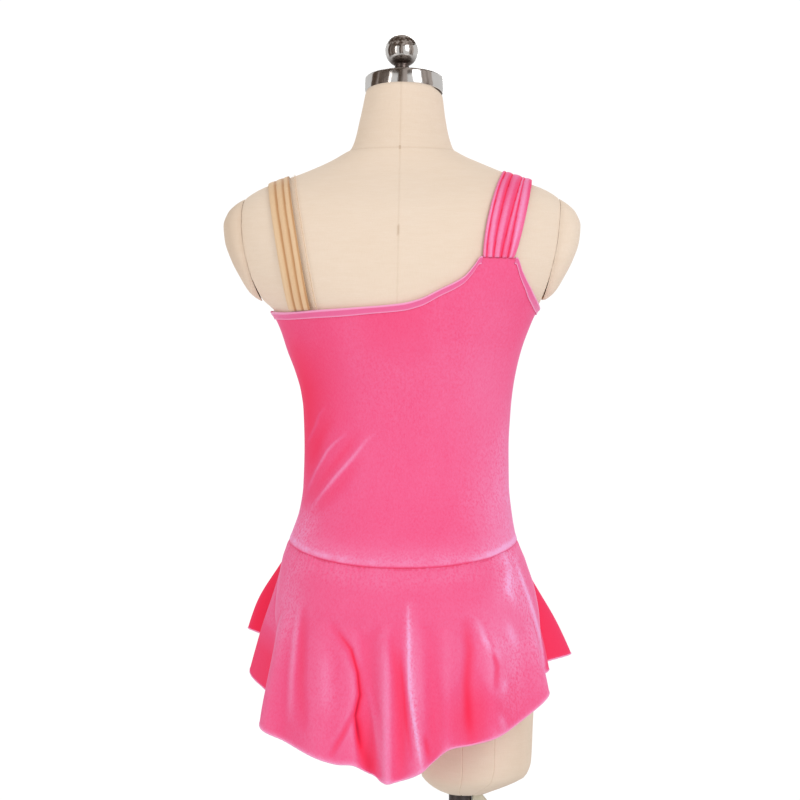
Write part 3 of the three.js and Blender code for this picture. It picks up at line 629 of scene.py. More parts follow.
# The bodice: one piece of velvet at the back and one at the front, drawn close round the form and
# sewn up the sides. Strain draws long soft folds from the waist's side up towards the back.
TOP_BACK = [
    (-156, 1030), (-131, 1027), (-98, 1028), (-39, 1031), (0, 1034.5), (20, 1039.5), (43, 1050.5),
    (70, 1065), (82, 1078), (90, 1088), (131, 1088), (137, 1073), (148, 1053), (161, 1033),
]
TOP_FRONT = [
    (-156, 1029), (-135, 1043), (-105, 1053), (-50, 1060), (0, 1066), (40, 1077), (70, 1092),
    (84, 1104), (90, 1110), (131, 1110), (139, 1085), (149, 1058), (161, 1032),
]
top_back, top_front = [Course(*zip(*rows)) for rows in (TOP_BACK, TOP_FRONT)]
TOP_REACH = 1140
HALVING_STEPS = 24


def halved(low, high, shape, holds):
    """The heights up to which something holds, found by halving."""
    low, high = np.full(shape, float(low)), np.full(shape, float(high))
    for _ in range(HALVING_STEPS):
        middle = (low + high) / 2
        held = holds(middle)
        low, high = np.where(held, middle, low), np.where(held, high, middle)
    return low


def top_height(turn):
    """The height of the bodice's top edge."""
    back = np.cos(np.radians(turn)) > 0

    def below_edge(z):
        x = form_points(turn, z)[..., 0]
        return np.where(back, top_back(x), top_front(x)) > z

    return halved(SEAM_SIDE, TOP_REACH, np.shape(turn), below_edge)


def turn_at(x, z, front):
    """The turn of the form's point that has a given x at a height."""
    mid_x, _, half_width, _, square = form_section(z)
    sine = signed_power(np.clip((x - mid_x) / half_width, -1, 1), square / 2)
    turn = np.degrees(np.arcsin(sine))
    return 180 - turn if front else turn


def near_path(x, z, path):
    """The distance to a path of points, and how far along it the nearest place is, 0 to 1."""
    path = np.array(path, float)
    lengths = np.linalg.norm(np.diff(path, axis=0), axis=1)
    done, best, along = 0, np.full(x.shape, 1e9), np.zeros(x.shape)
    for (ax, az), (bx, bz), length in zip(path[:-1], path[1:], lengths):
        share = np.clip(((x - ax) * (bx - ax) + (z - az) * (bz - az)) / length ** 2, 0, 1)
        away = np.hypot(x - ax - (bx - ax) * share, z - az - (bz - az) * share)
        nearer = away < best
        best = np.where(nearer, away, best)
        along = np.where(nearer, (done + share * length) / lengths.sum(), along)
        done += length
    return best, along


def ripple(seed, *places):
    """Soft uneven waves between -1 and 1 over some coordinates."""
    draw = np.random.default_rng(seed)
    total = 0
    for size in (1, 1.7, 2.9):
        angle = draw.uniform(0, 2 * np.pi)
        wave = sum(p * size * draw.uniform(0.7, 1.3) * d
                   for p, d in zip(places, (math.cos(angle), math.sin(angle))))
        total = total + np.sin(wave + draw.uniform(0, 2 * np.pi)) / size
    return total / 1.6


# Paths of the strained folds as x and height, with the width and rise of each
BACK_FOLDS = [
    ([(-107, 870), (-104, 880), (-98, 893), (-94, 905), (-86, 918)], 1.8, 0.8),
    ([(-108, 811), (-105, 822), (-97, 841), (-84, 865), (-76, 874), (-64, 884)], 1.9, 1.0),
    ([(-104, 795), (-97, 805), (-78, 830), (-57, 855), (-41, 876), (-32, 885)], 2.1, 1.0),
    ([(-103, 843), (-93, 877), (-79, 906)], 6, -0.7),
    ([(-99, 814), (-83, 840), (-60, 870), (-51, 886)], 5, -0.8),
    ([(-97, 792), (-72, 822), (-49, 852)], 6, -0.5),
]
FRONT_FOLDS = [
    ([(-114, 815), (-92, 842), (-60, 884)], 2.8, 0.9),
    ([(-108, 800), (-84, 832), (-52, 872)], 6, -0.6),
    ([(115, 822), (95, 850), (66, 892)], 2.6, 0.8),
    ([(118, 862), (106, 890), (92, 925)], 2.4, 0.7),
    ([(-112, 862), (-100, 892), (-84, 928)], 2.4, 0.6),
]
# Painted shade and highlight: paths, the width and how much lighter each is, shade on the left side
LEFT_SIDE_SHADE = [
    ([(-136, 1004), (-123, 981), (-113, 935), (-109, 889), (-108, 843), (-105, 817)], 17, -0.64),
    ([(-100, 1000), (-92, 930), (-84, 880)], 24, -0.3),
]
BACK_SHADING = [
    *LEFT_SIDE_SHADE,
    ([(-60, 1012), (40, 1012)], 40, -0.1),
    ([(100, 1000), (104, 900), (104, 800)], 40, 0.13),
    ([(78, 735), (104, 743), (130, 758)], 3, 0.5),
    ([(122, 830), (118, 780), (116, 740)], 26, 0.19),
]
FRONT_SHADING = [
    *LEFT_SIDE_SHADE,
    ([(100, 1000), (104, 900), (104, 800)], 40, 0.13),
    ([(-62, 1020), (-58, 1000)], 34, 0.12),
    ([(62, 1020), (58, 1000)], 34, 0.12),
]
# Where a speckled glint is painted: paths, the width and the strength of each
HIP_GLINT = [
    ([(-127, 752), (-116, 775), (-102, 794)], 18, 0.75),
    ([(127, 743), (123, 796), (120, 854), (121, 912)], 15, 0.5),
    ([(100, 760), (96, 800), (100, 850)], 26, 0.3),
    ([(-110, 1000), (110, 990)], 90, 0.1),
]


def stroke(x, z, path, width, tip, taper):
    """A soft stroke along a path, which fades towards both of its tips."""
    away, along = near_path(x, z, path)
    return bump(away, width) * np.sin(np.pi * np.clip(along, tip, 1 - tip)) ** taper


def brushed(x, z, strokes):
    return sum(shade * stroke(x, z, path, width, 0.04, 0.5) for path, width, shade in strokes)


SIDE_SEAM_GAP, HIP_WIDTH = 0.02, 130


def bodice_half(name, front):
    """Its marks hold painted highlight and painted shade, and a painted glint."""
    seam_turn = math.degrees(SIDE_SEAM_GAP / HIP_WIDTH)
    ends = (90 + seam_turn, 270 - seam_turn) if front else (-90 + seam_turn, 90 - seam_turn)
    turn, level = np.meshgrid(np.linspace(*ends, 181), np.linspace(0, 1, 141))
    low, top = seam_height(turn) + 0.3, top_height(turn) - 0.6
    z = low + (top - low) * level
    place = form_points(turn, z)
    x = place[..., 0]
    lift, painted_shading = np.zeros(x.shape), np.zeros(x.shape)
    # Each fold gets painted highlight on its ridge and painted shade in its trough.
    for path, width, rise in FRONT_FOLDS if front else BACK_FOLDS:
        ridge = stroke(x, z, path, width, 0.03, 0.7)
        lift += rise * ridge
        painted_shading += (0.46 if rise > 0 else 0.4) * rise * ridge
    seam = z - low
    pucker = bump(seam, 14) * (0.45 * ripple(3, turn * 1.6) + 0.3 * ripple(4, turn * 3.1, z * 0.05))
    roll = 0.55 * bump(seam - 3, 3.2)
    lift += pucker * 0.5 + roll + 0.22 * ripple(5, turn * 0.12, z * 0.035)
    side = np.abs(np.abs(turn - (180 if front else 0)) - 90)
    lift -= 0.3 * bump(side, 0.35)
    lift = np.maximum(lift, -0.6)
    grid = lifted(turn, z, CLOTH_OFF + 0.2 + lift)
    piece = grid_piece(name, grid, VELVET)
    # Painted highlight on the roll above the hip seam, stronger towards the sides, and painted shade
    # along the seam line.
    lit = 0.12 + 0.4 * np.clip(np.abs(x - 18) / 110, 0, 1) ** 2
    painted_shading += lit * bump(seam - 5, 3.5) * (0.9 + 0.3 * ripple(6, turn * 0.5)) - 0.5 * bump(seam, 1)
    painted_shading += 0.1 * bump(seam - 14, 14)
    # Painted light and shade along the listed paths, and painted shade down the side seams.
    painted_shading += brushed(x, z, FRONT_SHADING if front else BACK_SHADING) - 0.5 * bump(side, 0.3)
    mark(piece, "painted_shading", painted_shading)
    mark(piece, "painted_glint", np.clip(0.1 + brushed(x, z, HIP_GLINT) + 0.3 * bump(seam - 8, 9), 0, 1))
    return settled(thicken(piece, 1.3), "bodice_front" if front else "bodice_back")


bodice_back_cloth = bodice_half("bodice_back_cloth", False)
bodice_front_cloth = bodice_half("bodice_front_cloth", True)


# The neckline's and the armhole's binding: a strip of the shiny wrong side of the knit, folded
# over the raw edge and stitched down, so that both of its folds catch the light.
def binding_finish():
    strip = Finish("knit_binding")
    rib = strip.noise(900, 900, 900, detail=2)
    fold = strip.marked("fold")
    edge = strip.rim(0.35)
    tone = strip.blend(rib, thread_tone(236, 92, 150), thread_tone(242, 112, 164))
    # The fold mark lightens the colour: a painted highlight along the binding's folds; the hem's roll
    # is lightened evenly by it.
    tone = strip.blend((fold + edge ** 3 * 0.4).kept(), tone, thread_tone(255, 180, 222))
    return strip.surface(Base_Color=tone, Roughness=0.5 + rib * 0.2,
                         Normal=strip.relief(rib, 0.0003, 0.4), Sheen_Weight=0.3,
                         Sheen_Tint=thread_tone(255, 205, 235))


BINDING = binding_finish()
# The folded strip's section: down from the edge, off the form, and its painted highlight
BINDING_SECTION = [
    (8.0, 4.3, 0.1), (8.9, 4.45, 0.8), (9.3, 4.9, 1.0), (9.1, 5.35, 1.0), (8.5, 5.55, 0.8),
    (7.6, 5.4, 0.1), (6.4, 5.15, 0.0), (4.6, 5.1, 0.0), (2.8, 5.3, 0.0), (1.9, 5.5, 0.0),
    (1.2, 5.55, 0.7), (-0.1, 5.1, 1.0), (-0.6, 4.4, 1.0), (-0.6, 3.4, 0.9), (-0.1, 2.5, 0.5),
    (1.4, 2.1, 0.1), (4.5, 1.9, 0.0), (7.2, 1.9, 0.0), (7.9, 2.2, 0.0), (7.2, 2.55, 0.0),
    (4.5, 2.6, 0.0), (1.6, 2.7, 0.0), (0.3, 3.1, 0.0), (0.2, 3.9, 0.0), (1.6, 4.2, 0.0),
]


def binding(name, turns, width):
    top = top_height(turns)
    path = form_points(turns, top)
    run = np.concatenate([[0], np.cumsum(np.linalg.norm(np.diff(path, axis=0), axis=1))])
    down, off, light = [np.array(c)[:, None] for c in zip(*BINDING_SECTION)]
    wave = 1 + 0.05 * ripple(11, run * 0.05)[None, :]
    z = top[None, :] - down * wave * width
    lift = off + 0.12 * ripple(12, run * 0.8)[None, :] * (off > 4.8)
    grid = lifted(np.broadcast_to(turns, z.shape), z, lift)
    grid = np.concatenate([grid[:, :1].mean(0, keepdims=True).repeat(len(grid), 0), grid,
                           grid[:, -1:].mean(0, keepdims=True).repeat(len(grid), 0)], axis=1)
    piece = grid_piece(name, grid.transpose(1, 0, 2)[:, ::-1].copy(), BINDING, around=True)
    shades = np.broadcast_to(light, z.shape)
    shades = np.concatenate([shades[:, :1], shades, shades[:, -1:]], axis=1)
    mark(piece, "fold", (shades * 0.8).T[:, ::-1].copy())
    return piece


def corner_turn(x, front):
    table = top_front if front else top_back
    return float(turn_at(np.array(float(x)), table(float(x)), front))


SIDE_GAP, NECK_CORNER, ARM_CORNER, NECK_WIDTH, ARM_WIDTH = 0.07, 91.5, 129.5, 0.87, 0.8
# Each strip's turns at its ends, its steps, its width beside the section's and its flat length
BINDINGS = {
    "neck_back": (-90 + SIDE_GAP, corner_turn(NECK_CORNER, False), 260, NECK_WIDTH, 0.31),
    "neck_front": (corner_turn(NECK_CORNER, True), 270 - SIDE_GAP, 260, NECK_WIDTH, 0.34),
    "armhole_back": (corner_turn(ARM_CORNER, False), 90 - SIDE_GAP, 90, ARM_WIDTH, 0.08),
    "armhole_front": (90 + SIDE_GAP, corner_turn(ARM_CORNER, True), 90, ARM_WIDTH, 0.1),
}
for place, (start, end, steps, width, length) in BINDINGS.items():
    strip = binding(f"binding_{place}_strip", np.linspace(start, end, steps), width)
    settled(strip, f"binding_{place}")


# The skirt: a circular skirt in two pieces, sewn to the bodice at the hip seam. It lies smooth
# over the hips and falls into soft flutes, short in front and long behind, with a rolled hem.
# Round the hem, each row is a turn and the place there of a flute's ridge or valley.
SKIRT_FOLDS = [
    (3, 19, -168, 503), (9, 34, -156, 514), (19, 53, -158, 529), (30, 80, -145, 533),
    (43, 107, -146, 541), (54, 132, -124, 554), (66, 169, -96, 583), (80, 158, -60, 597),
    (89, 174, -34, 606), (97, 168, -6, 611), (110, 204, 42, 618), (124, 156, 70, 620),
    (137, 132, 122, 619), (150, 84, 112, 618), (164, 52, 144, 618), (178, 8, 120, 619),
    (192, -40, 146, 623), (206, -80, 114, 629), (220, -122, 126, 636), (234, -150, 82, 644),
    (248, -186, 50, 648), (261, -157, 18, 634), (273, -180, -18, 603), (285, -154, -52, 576),
    (299, -163, -100, 547), (309, -135, -120, 534), (320, -103, -146, 520),
    (330, -76, -152, 512), (339, -54, -152, 510), (346, -35, -144, 499),
    (353, -19, -168, 492), (357.5, -4, -161, 494),
]


class Loop:
    """A smooth closed line through a table's rows that runs once round, over turns."""

    def __init__(self, turns, values):
        self.place = np.concatenate([np.array(turns) + 360 * lap for lap in (-2, -1, 0, 1)])
        self.value = np.tile(values, 4)
        slope = (self.value[2:] - self.value[:-2]) / (self.place[2:] - self.place[:-2])
        self.tangent = np.concatenate([[0], slope, [0]])

    def __call__(self, turn):
        return between_rows(self, np.searchsorted(self.place, turn, side="right") - 1, turn)


fold_turn, *fold_columns = zip(*SKIRT_FOLDS)
hem_x, hem_y, hem_z = [Loop(fold_turn, np.array(c, float)) for c in fold_columns]
HEM_HALF_WIDTH, HEM_FRONT, HEM_BACK = 170, 130, 154 # the hem's mean oval, without its flutes
SKIRT_OFF, THIGH_ROOM = 4.7, 2.6
FLAP_EASE, FLAP_BEARING = 1.2, 113 # the front part springs out soonest here, beside the hips


def off_the_form(points, off):
    """Moves points out where they would come too near to the form."""
    mid_x, mid_y, half_width, half_depth, square = form_section(points[..., 2])
    x = (points[..., 0] - mid_x) / (half_width + off)
    y = (points[..., 1] - mid_y) / (half_depth + off)
    reach = (np.abs(x) ** square + np.abs(y) ** square) ** (1 / square)
    grow = 1 / np.clip(reach, 0.001, 1)
    moved = points.copy()
    moved[..., 0] = mid_x + (points[..., 0] - mid_x) * grow
    moved[..., 1] = mid_y + (points[..., 1] - mid_y) * grow
    return moved


def skirt_points(turn, down):
    start = lifted(turn, seam_height(turn) + 1.2, SKIRT_OFF)
    hem = np.stack([hem_x(turn), hem_y(turn), hem_z(turn)], axis=-1)
    bearing = np.arctan2(hem[..., 0], -hem[..., 1])
    depth = np.where(np.cos(bearing) > 0, HEM_BACK, HEM_FRONT)
    mean = np.stack([HEM_HALF_WIDTH * np.sin(bearing), -depth * np.cos(bearing)], axis=-1)
    from_flap = np.degrees(np.abs(bearing)) - FLAP_BEARING
    ease = 1.9 - 0.75 * np.sin(bearing) ** 4
    ease = ease + FLAP_EASE * bump(from_flap, 13) * (np.cos(bearing) < 0)
    flare = (1 - (1 - down) ** ease)[..., None]
    fold = (down ** 1.35)[..., None]
    flat = start[..., :2] + (mean - start[..., :2]) * flare + (hem[..., :2] - mean) * fold
    height = start[..., 2] + (hem[..., 2] - start[..., 2]) * down
    points = np.concatenate([flat, height[..., None]], axis=-1)
    return off_the_form(points, SKIRT_OFF + THIGH_ROOM * np.minimum(1, down * 7))


def grid_normals(grid):
    across = np.gradient(grid, axis=1)
    up = np.gradient(grid, axis=0)
    normal = np.cross(across, up)
    return normal / np.linalg.norm(normal, axis=-1, keepdims=True)


def smoothed(values, times, axis):
    for _ in range(times):
        padded = np.concatenate([np.take(values, [0], axis), values, np.take(values, [-1], axis)], axis)
        before = np.take(padded, range(values.shape[axis]), axis)
        after = np.take(padded, range(2, values.shape[axis] + 2), axis)
        values = (before + 2 * values + after) / 4
    return values


SKIRT_DROP, HEM_DEPTH = 180, 190 # lengths down the skirt that its shading goes by


def skirt_part(name, node, start, end, columns, creases):
    turn, down = np.meshgrid(np.linspace(start + SIDE_GAP, end - SIDE_GAP, columns + 1),
                             1 - np.linspace(0, 1, 101) ** 1.15)
    grid = skirt_points(turn, down)
    normal = grid_normals(grid)
    seam = down * SKIRT_DROP
    lift = -0.9 * bump(seam, 3.5)
    lift += bump(seam, 16) * (0.4 * ripple(21, turn * 1.5) + 0.25 * ripple(22, turn * 3.4))
    lift += 0.9 * ripple(23, turn * 0.16, down * 5) * np.clip(down * 3, 0, 1)
    x, z = grid[..., 0], grid[..., 2]
    painted_shading = np.zeros(x.shape)
    for path, width, rise, shade in creases:
        ridge = stroke(x, z, path, width, 0.02, 0.5)
        lift += rise * ridge
        painted_shading += shade * ridge
    grid = grid + normal * lift[..., None]
    normal = grid_normals(grid)
    bend = np.einsum("rcx,rcx->rc", np.gradient(np.gradient(grid, axis=1), axis=1), normal)
    length = np.linalg.norm(np.gradient(grid, axis=1), axis=-1)
    bend = smoothed(smoothed(-bend / length ** 2, 10, 1), 4, 0) # ridges look light, valleys deep
    # Painted highlight on the ridges and painted shade in the valleys, from how the cloth bends, and a
    # painted highlight along the hem.
    painted_shading += np.clip(bend * 3, -0.45, 0.3) * np.clip(down * 2.2, 0, 1)
    painted_shading += 0.4 * bump((1 - down) * HEM_DEPTH, 3.2)
    if start > 0: # painted shade makes the front part darker and redder, most beside the flaps
        beside = np.clip((np.abs(turn - 180) - 30) / 30, 0, 1) * np.clip(down * 4, 0, 1)
        painted_shading -= 0.25 + beside * np.where(turn > 180, 0.8, 0.6)
    else:
        # Painted shade on the back part's sides, lower down.
        painted_shading -= 0.6 * np.clip((-68 - turn) / 6, 0, 1) * np.clip(down * 5 - 2.9, 0, 1)
        painted_shading -= 0.7 * np.clip((np.abs(turn) - 84) / 5, 0, 1) ** 2 * np.clip(down * 4, 0, 1)
    piece = grid_piece(name, grid, VELVET)
    mark(piece, "painted_shading", painted_shading)
    glint = 0.1 + brushed(x, z, SKIRT_GLINT) + 0.25 * bump(seam - 9, 10)
    mark(piece, "painted_glint", np.clip(glint, 0, 1))
    return settled(thicken(piece, 1.2), node), grid


# Creases as x and height along them, with the width, rise and lightness of each, the last a painted
# highlight or shade
BACK_CREASES = [
    ([(-78, 664), (-59, 639), (-50, 614), (-47, 589), (-53, 566), (-45, 528), (-34, 498)],
     5, -2.2, -0.35),
    ([(-72, 658), (-58, 640), (-50, 614), (-47, 589), (-52, 566), (-45, 530)], 1.5, -0.5, -1.0),
    ([(-49, 583), (-48, 531)], 5, -0.6, -0.4),
    ([(-56, 567), (-67, 545), (-80, 523)], 3, -1.0, -0.4),
    ([(-39, 602), (-32, 560), (-25, 509)], 4, 1.4, 0.12),
    ([(-47, 566), (-41, 524), (-30, 488)], 9, -1.0, -0.4),
    ([(-12, 650), (-5, 614), (-1, 566), (0, 504)], 6, -1.8, -0.45),
    ([(-3, 640), (1, 600), (4, 560), (10, 520)], 2, -0.6, -0.5),
    ([(7, 690), (7.5, 640), (8, 600), (11, 575), (15, 551), (20, 520), (23, 506)], 1.6, 1.6, 0.8),
    ([(10, 690), (11, 640), (12, 600), (16, 570)], 9, 0.5, 0.16),
    ([(26, 545), (30, 520)], 2.5, -1.0, -0.5),
    ([(73, 669), (77, 639), (74, 602), (75, 566), (77, 541)], 6, -1.8, -0.5),
    ([(86, 671), (94, 650), (111, 629)], 4, 1.0, 0.3),
    ([(100, 652), (108, 620), (106, 596)], 3, -0.8, -0.4),
    ([(120, 669), (131, 639)], 5, 0.7, 0.3),
    ([(117, 605), (115, 589)], 4, 0.5, 0.3),
    ([(111, 566), (117, 548)], 4, 0.4, 0.25),
    ([(40, 556), (76, 562), (110, 590)], 30, 0, -0.42),
    ([(-88, 640), (-86, 570)], 9, 0.9, 0.1),
    ([(-118, 690), (-126, 610), (-128, 560)], 4, 0.9, 0.25),
    ([(-113, 680), (-116, 600), (-112, 552)], 6, -1.0, -0.3),
    ([(115, 751), (124, 728), (122, 705), (130, 690)], 4, 1.0, 0.4),
    ([(122, 730), (116, 640), (106, 580)], 28, 0, 0.17),
    ([(131, 738), (148, 690), (163, 640), (168, 600)], 2.2, 0.8, 0.7),
]
FRONT_CREASES = [
    ([(-60, 700), (-50, 640)], 8, -1.0, -0.3),
    ([(30, 705), (24, 650)], 8, -1.0, -0.3),
    ([(90, 700), (100, 640)], 8, 0.8, 0.2),
]
# Where a glint is painted on the skirt, with the width and strength of each place
SKIRT_GLINT = [
    ([(-128, 742), (-132, 708), (-134, 668), (-136, 639)], 18, 0.55),
    ([(115, 751), (126, 728), (124, 705), (134, 694)], 14, 0.9),
    ([(128, 740), (146, 690), (158, 630), (162, 600)], 12, 0.6),
    ([(86, 671), (105, 645), (131, 639), (130, 600), (116, 550)], 15, 0.45),
    ([(8, 690), (8, 640), (14, 560), (22, 508)], 4, 0.8),
    ([(-88, 640), (-86, 560)], 16, 0.2),
]
skirt_back_cloth, back_grid = skirt_part(
    "skirt_back_cloth", "skirt_back", -90, 90, 400, BACK_CREASES)
skirt_front_cloth, front_grid = skirt_part(
    "skirt_front_cloth", "skirt_front", 90, 270, 320, FRONT_CREASES)


HEM_RADIUS = 1.05


def hem_roll(name, grid):
    """The hem's narrow roll, overlocked with a pink thread."""
    edge = grid[0]
    inward = grid[2] - grid[0]
    inward /= np.linalg.norm(inward, axis=-1, keepdims=True)
    out = grid_normals(grid)[0]
    run = np.concatenate([[0], np.cumsum(np.linalg.norm(np.diff(edge, axis=0), axis=1))])
    angle = np.linspace(0, 2 * np.pi, 12, endpoint=False)
    rings = []
    for k, point in enumerate(edge):
        radius = HEM_RADIUS + 0.12 * math.sin(run[k] * 2.6) # the thread's turns bind it
        centre = point + inward[k] * 0.5 - out[k] * 0.6
        rings.append([centre + radius * (out[k] * math.cos(a) + inward[k] * math.sin(a))
                      for a in angle])
    rings = np.array(rings)
    piece = grid_piece(name, rings, BINDING, around=True, closed=True)
    mark(piece, "fold", np.full(rings.shape[:2], 0.6))
    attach(piece, "root")
    return piece


hem_back = hem_roll("hem_back_roll", back_grid)
hem_front = hem_roll("hem_front_roll", front_grid)


# The straps: one of velvet over the wearer's right shoulder and one of nude mesh over the left.
# Each is a wide piece, gathered into lengthwise pleats and sewn to the neckline at both ends.
def mesh_finish():
    net = Finish("nude_mesh")
    hole = net.node("TexVoronoi", {}, {"Vector": net.place(1, 1, 1), "Scale": 1100})
    rib = net.noise(500, 500, 60, detail=2)
    painted_shading = net.marked("painted_shading")
    edge = net.rim(0.35)
    tone = net.blend(rib * 0.6 + hole * 0.4, thread_tone(222, 179, 133), thread_tone(238, 205, 163))
    # The mark darkens the grooves and lightens the ridges: painted shade and painted highlight.
    tone = net.blend((painted_shading * -1).kept(), tone, thread_tone(194, 144, 98))
    tone = net.blend((painted_shading + edge ** 3 * 0.5).kept() * 0.7, tone, thread_tone(240, 210, 172))
    sheer = net.marked("sheer")
    return net.surface(Base_Color=tone, Roughness=0.6 + rib * 0.2, Sheen_Weight=0.2,
                       Alpha=1 - sheer * (0.92 + hole * 0.04),
                       Normal=net.relief(hole + rib, 0.0003, 0.3))


NUDE_MESH = mesh_finish()


def shoulder_height(x):
    """The height where the form's shoulder line passes a given x."""
    return halved(ARMHOLE_HIGH, NECK_TILT_FROM, x.shape,
                  lambda z: np.where(x < 0, form_left(z), form_right(z)) > np.abs(x))


STRAP_SINK, GROOVE_SHADE = 1.7, 1.3


def strap_part(name, node, finish, inner, outer, feet, valleys, rise, seed, blur, sheer=0, level=0):
    """inner and outer are x at the feet, x at the top and how late the edge leans over. feet are
    the heights at the back and the front. valleys are places across the strap, at its feet and
    at its top, where the gathers sink in, and blur is how wide the painted shade in each one is.
    sheer is the share of the width that is a single ungathered layer, and level lifts the outer side on
    the shoulder."""
    right = inner[0] > 0
    across, along = np.meshgrid(np.linspace(0, 1, 91), np.linspace(0, 1, 125))
    over = np.sin(np.pi * along)
    edge = across if right else 1 - across
    base, top, late = [inner[k] + (outer[k] - inner[k]) * edge for k in range(3)]
    x = base + (top - base) * over ** late
    front = along > 0.5
    foot = np.where(front, feet[1], feet[0])
    z = foot + (shoulder_height(x) - 0.4 - foot) * over
    turn = np.where(front, turn_at(x, z, True), turn_at(x, z, False))
    sway = 0.02 * ripple(seed, along * 7)
    lines = [low + (high - low) * over + sway for low, high in valleys]
    lines = [np.zeros(x.shape), *lines, np.ones(x.shape)]
    lift, painted_shading = np.zeros(x.shape), np.zeros(x.shape)
    for a, b in zip(lines[:-1], lines[1:]):
        share = np.clip((across - a) / (b - a), 0, 1)
        inside = (across >= a) & (across <= b)
        hump = np.sin(np.pi * share) ** 0.5 * (0.7 + 0.8 * (b - a))
        lift = np.where(inside, hump, lift)
        # Painted highlight on the left of each pleat, painted shade on its right and in the groove
        # after it.
        shade = 0.6 * bump(share - 0.36, 0.22) * (1.2 - over) - 0.6 * bump(share - 0.85, 0.24) * over
        painted_shading = np.where(inside, shade, painted_shading)
        painted_shading -= GROOVE_SHADE * bump(across - b, blur) * (b < 1)
    fine = bump(over, 0.28) * np.abs(np.sin(across * np.pi * 8.5 + seed))
    margin = np.clip((across - (1 - sheer)) / 0.02, 0, 1) if sheer else 0 * across
    lift = rise * (lift * (0.95 - 0.4 * over ** 3) - 0.25 * fine) * (1 - margin)
    lift += level * over ** 6 * (edge - 0.35)
    piece = grid_piece(name, lifted(turn, z, CLOTH_OFF - STRAP_SINK * over + lift), finish)
    # A little random tone, and painted shade in the fine gathers at the feet.
    painted_shading += 0.12 + 0.2 * ripple(seed + 1, across * 9, along * 5) - 0.4 * fine
    mark(piece, "painted_shading", smoothed(painted_shading, 1, 1) * (1 - margin))
    mark(piece, "painted_glint", np.full(x.shape, 0.12))
    mark(piece, "sheer", np.where(across > 0.985, 0.6, 1) * margin)
    return settled(thicken(piece, 1.1), node)


velvet_strap = strap_part(
    "velvet_strap", "strap_velvet", VELVET, (92, 119, 1.6), (127.5, 152, 0.75), (1087.4, 1109.4),
    [(0.14, 0.1), (0.36, 0.34), (0.6, 0.66), (0.8, 0.74)], 3.0, seed=31, blur=0.022, level=3.6)
mesh_strap = strap_part(
    "mesh_strap", "strap_mesh", NUDE_MESH, (-96.6, -126, 0.85), (-129, -157, 0.8), (1029, 1053.5),
    [(0.27, 0.3), (0.54, 0.58), (0.75, 0.8)], 1.7, seed=32, blur=0.05, sheer=0.23)


# The studio: a plain pale floor, a white surround, soft light from large panels, and dark cards
# that only the chrome reflects. The camera stands 3 m behind the wearer at waist height.
def floor_finish():
    floor = Finish("studio_floor")
    scuff = floor.noise(4, 4, 4, detail=3)
    tone = floor.blend(scuff, thread_tone(238, 238, 238), thread_tone(244, 244, 244))
    return floor.surface(Base_Color=tone, Roughness=0.9)


FLOOR_REACH = 2300
floor_grid = np.array([[(x, y, 0) for x in (-FLOOR_REACH, FLOOR_REACH)]
                       for y in (-FLOOR_REACH, FLOOR_REACH)], float)
studio_floor = grid_piece("studio_floor", floor_grid, floor_finish())


def card_finish():
    card = Finish("dark_card")
    fade = card.noise(1.4, 1.4, 0.25, detail=1)
    tone = card.blend((fade * 5 - 2.3).kept(), (0.09, 0.065, 0.05, 1), (0.46, 0.41, 0.38, 1))
    return card.surface(Base_Color=tone,
                        Roughness=1, Specular_IOR_Level=0)


CARD = card_finish()
CARD_REACH, CARD_LOW, CARD_HIGH, ROOF_REACH, ROOF_HEIGHT = 2250, 300, 2700, 3400, 3000


def dark_card(name, start, end):
    """An upright curved card round the form, from one turn to another."""
    turn = np.radians(np.linspace(start, end, 25))
    wall = np.stack([CARD_REACH * np.sin(turn), -CARD_REACH * np.cos(turn)], axis=-1)
    grid = np.array([[(*spot, z) for spot in wall] for z in (CARD_LOW, CARD_HIGH)], float)
    return grid_piece(name, grid, CARD)


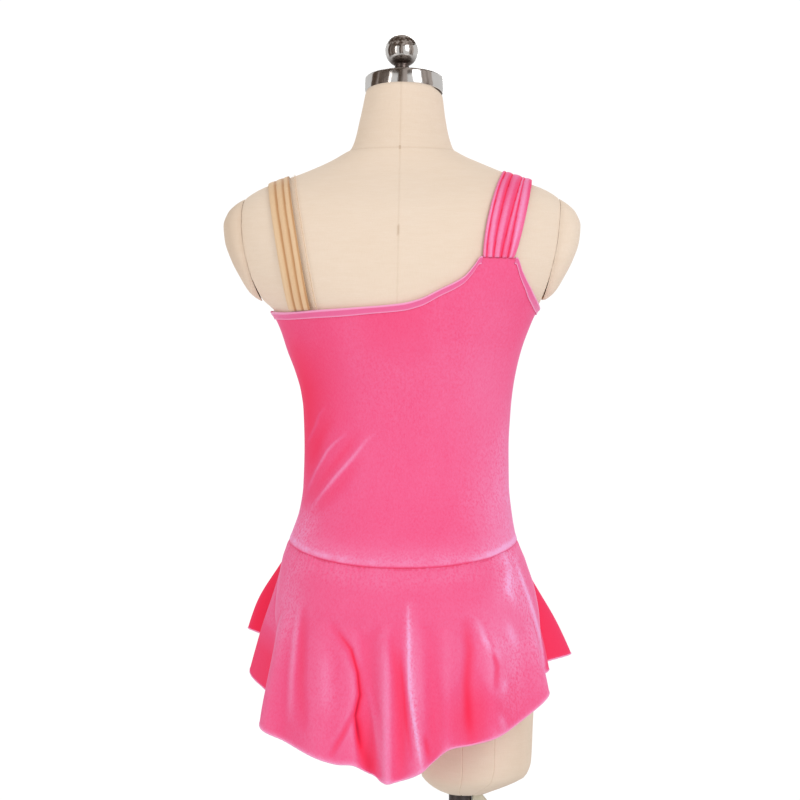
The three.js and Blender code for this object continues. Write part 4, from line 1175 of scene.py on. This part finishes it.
roof = turned("card_roof", CARD, [
    (0.01, ROOF_HEIGHT), (ROOF_REACH, ROOF_HEIGHT), (ROOF_REACH, ROOF_HEIGHT + 10),
    (0.01, ROOF_HEIGHT + 10),
])
for card in (dark_card("card_left", -112, -46), dark_card("card_middle", -19, 9),
             dark_card("card_right", 54, 90), roof):
    card.visible_camera = card.visible_diffuse = card.visible_shadow = False

surround = Finish("white_surround", bpy.data.worlds)
seen = surround.node("LightPath", {}, {}, out="Is Camera Ray")
glow = surround.node("Background", {}, {"Color": (1, 0.99, 0.98, 1), "Strength": 0.64})
white = surround.node("Background", {}, {"Color": (1, 1, 1, 1), "Strength": 1.05})
surround.end("World", surround.node("MixShader", {}, {0: seen, 1: glow, 2: white}))
bpy.context.scene.world = surround.material


WAIST_HEIGHT = 0.95


def panel(name, place, size, power, tone):
    """A soft light panel that faces the form's waist."""
    light = bpy.data.lights.new(name, "AREA")
    light.shape = "RECTANGLE"
    light.size, light.size_y = size
    light.energy = power
    light.color = tone
    lamp = bpy.data.objects.new(name, light)
    lamp.location = place
    aim = Vector((0, 0, WAIST_HEIGHT)) - Vector(place)
    lamp.rotation_euler = aim.to_track_quat("-Z", "Y").to_euler()
    bpy.context.scene.collection.objects.link(lamp)


panel("panel_right", (1.9, -2.4, 2.1), (1.2, 2.4), 34, (1, 0.98, 1))
panel("panel_left", (-2.4, -1.8, 1.5), (1.4, 2.4), 18, (1, 0.93, 0.88))
panel("panel_front", (0.3, 2.6, 2.3), (1.4, 2), 30, (1, 1, 1))

bpy.context.scene.view_settings.view_transform = "Standard"
CAMERA_DISTANCE, CAMERA_HEIGHT, PICTURE_WIDTH = 3.0, 0.9235, 0.952
camera_data = bpy.data.cameras.new("camera")
camera_data.sensor_width = 36
camera_data.lens = 36 * CAMERA_DISTANCE / PICTURE_WIDTH
camera = bpy.data.objects.new("camera", camera_data)
camera.location = (-0.0024, -CAMERA_DISTANCE, CAMERA_HEIGHT)
camera.rotation_euler = (math.radians(90), 0, 0)
bpy.context.scene.collection.objects.link(camera)
bpy.context.scene.camera = camera
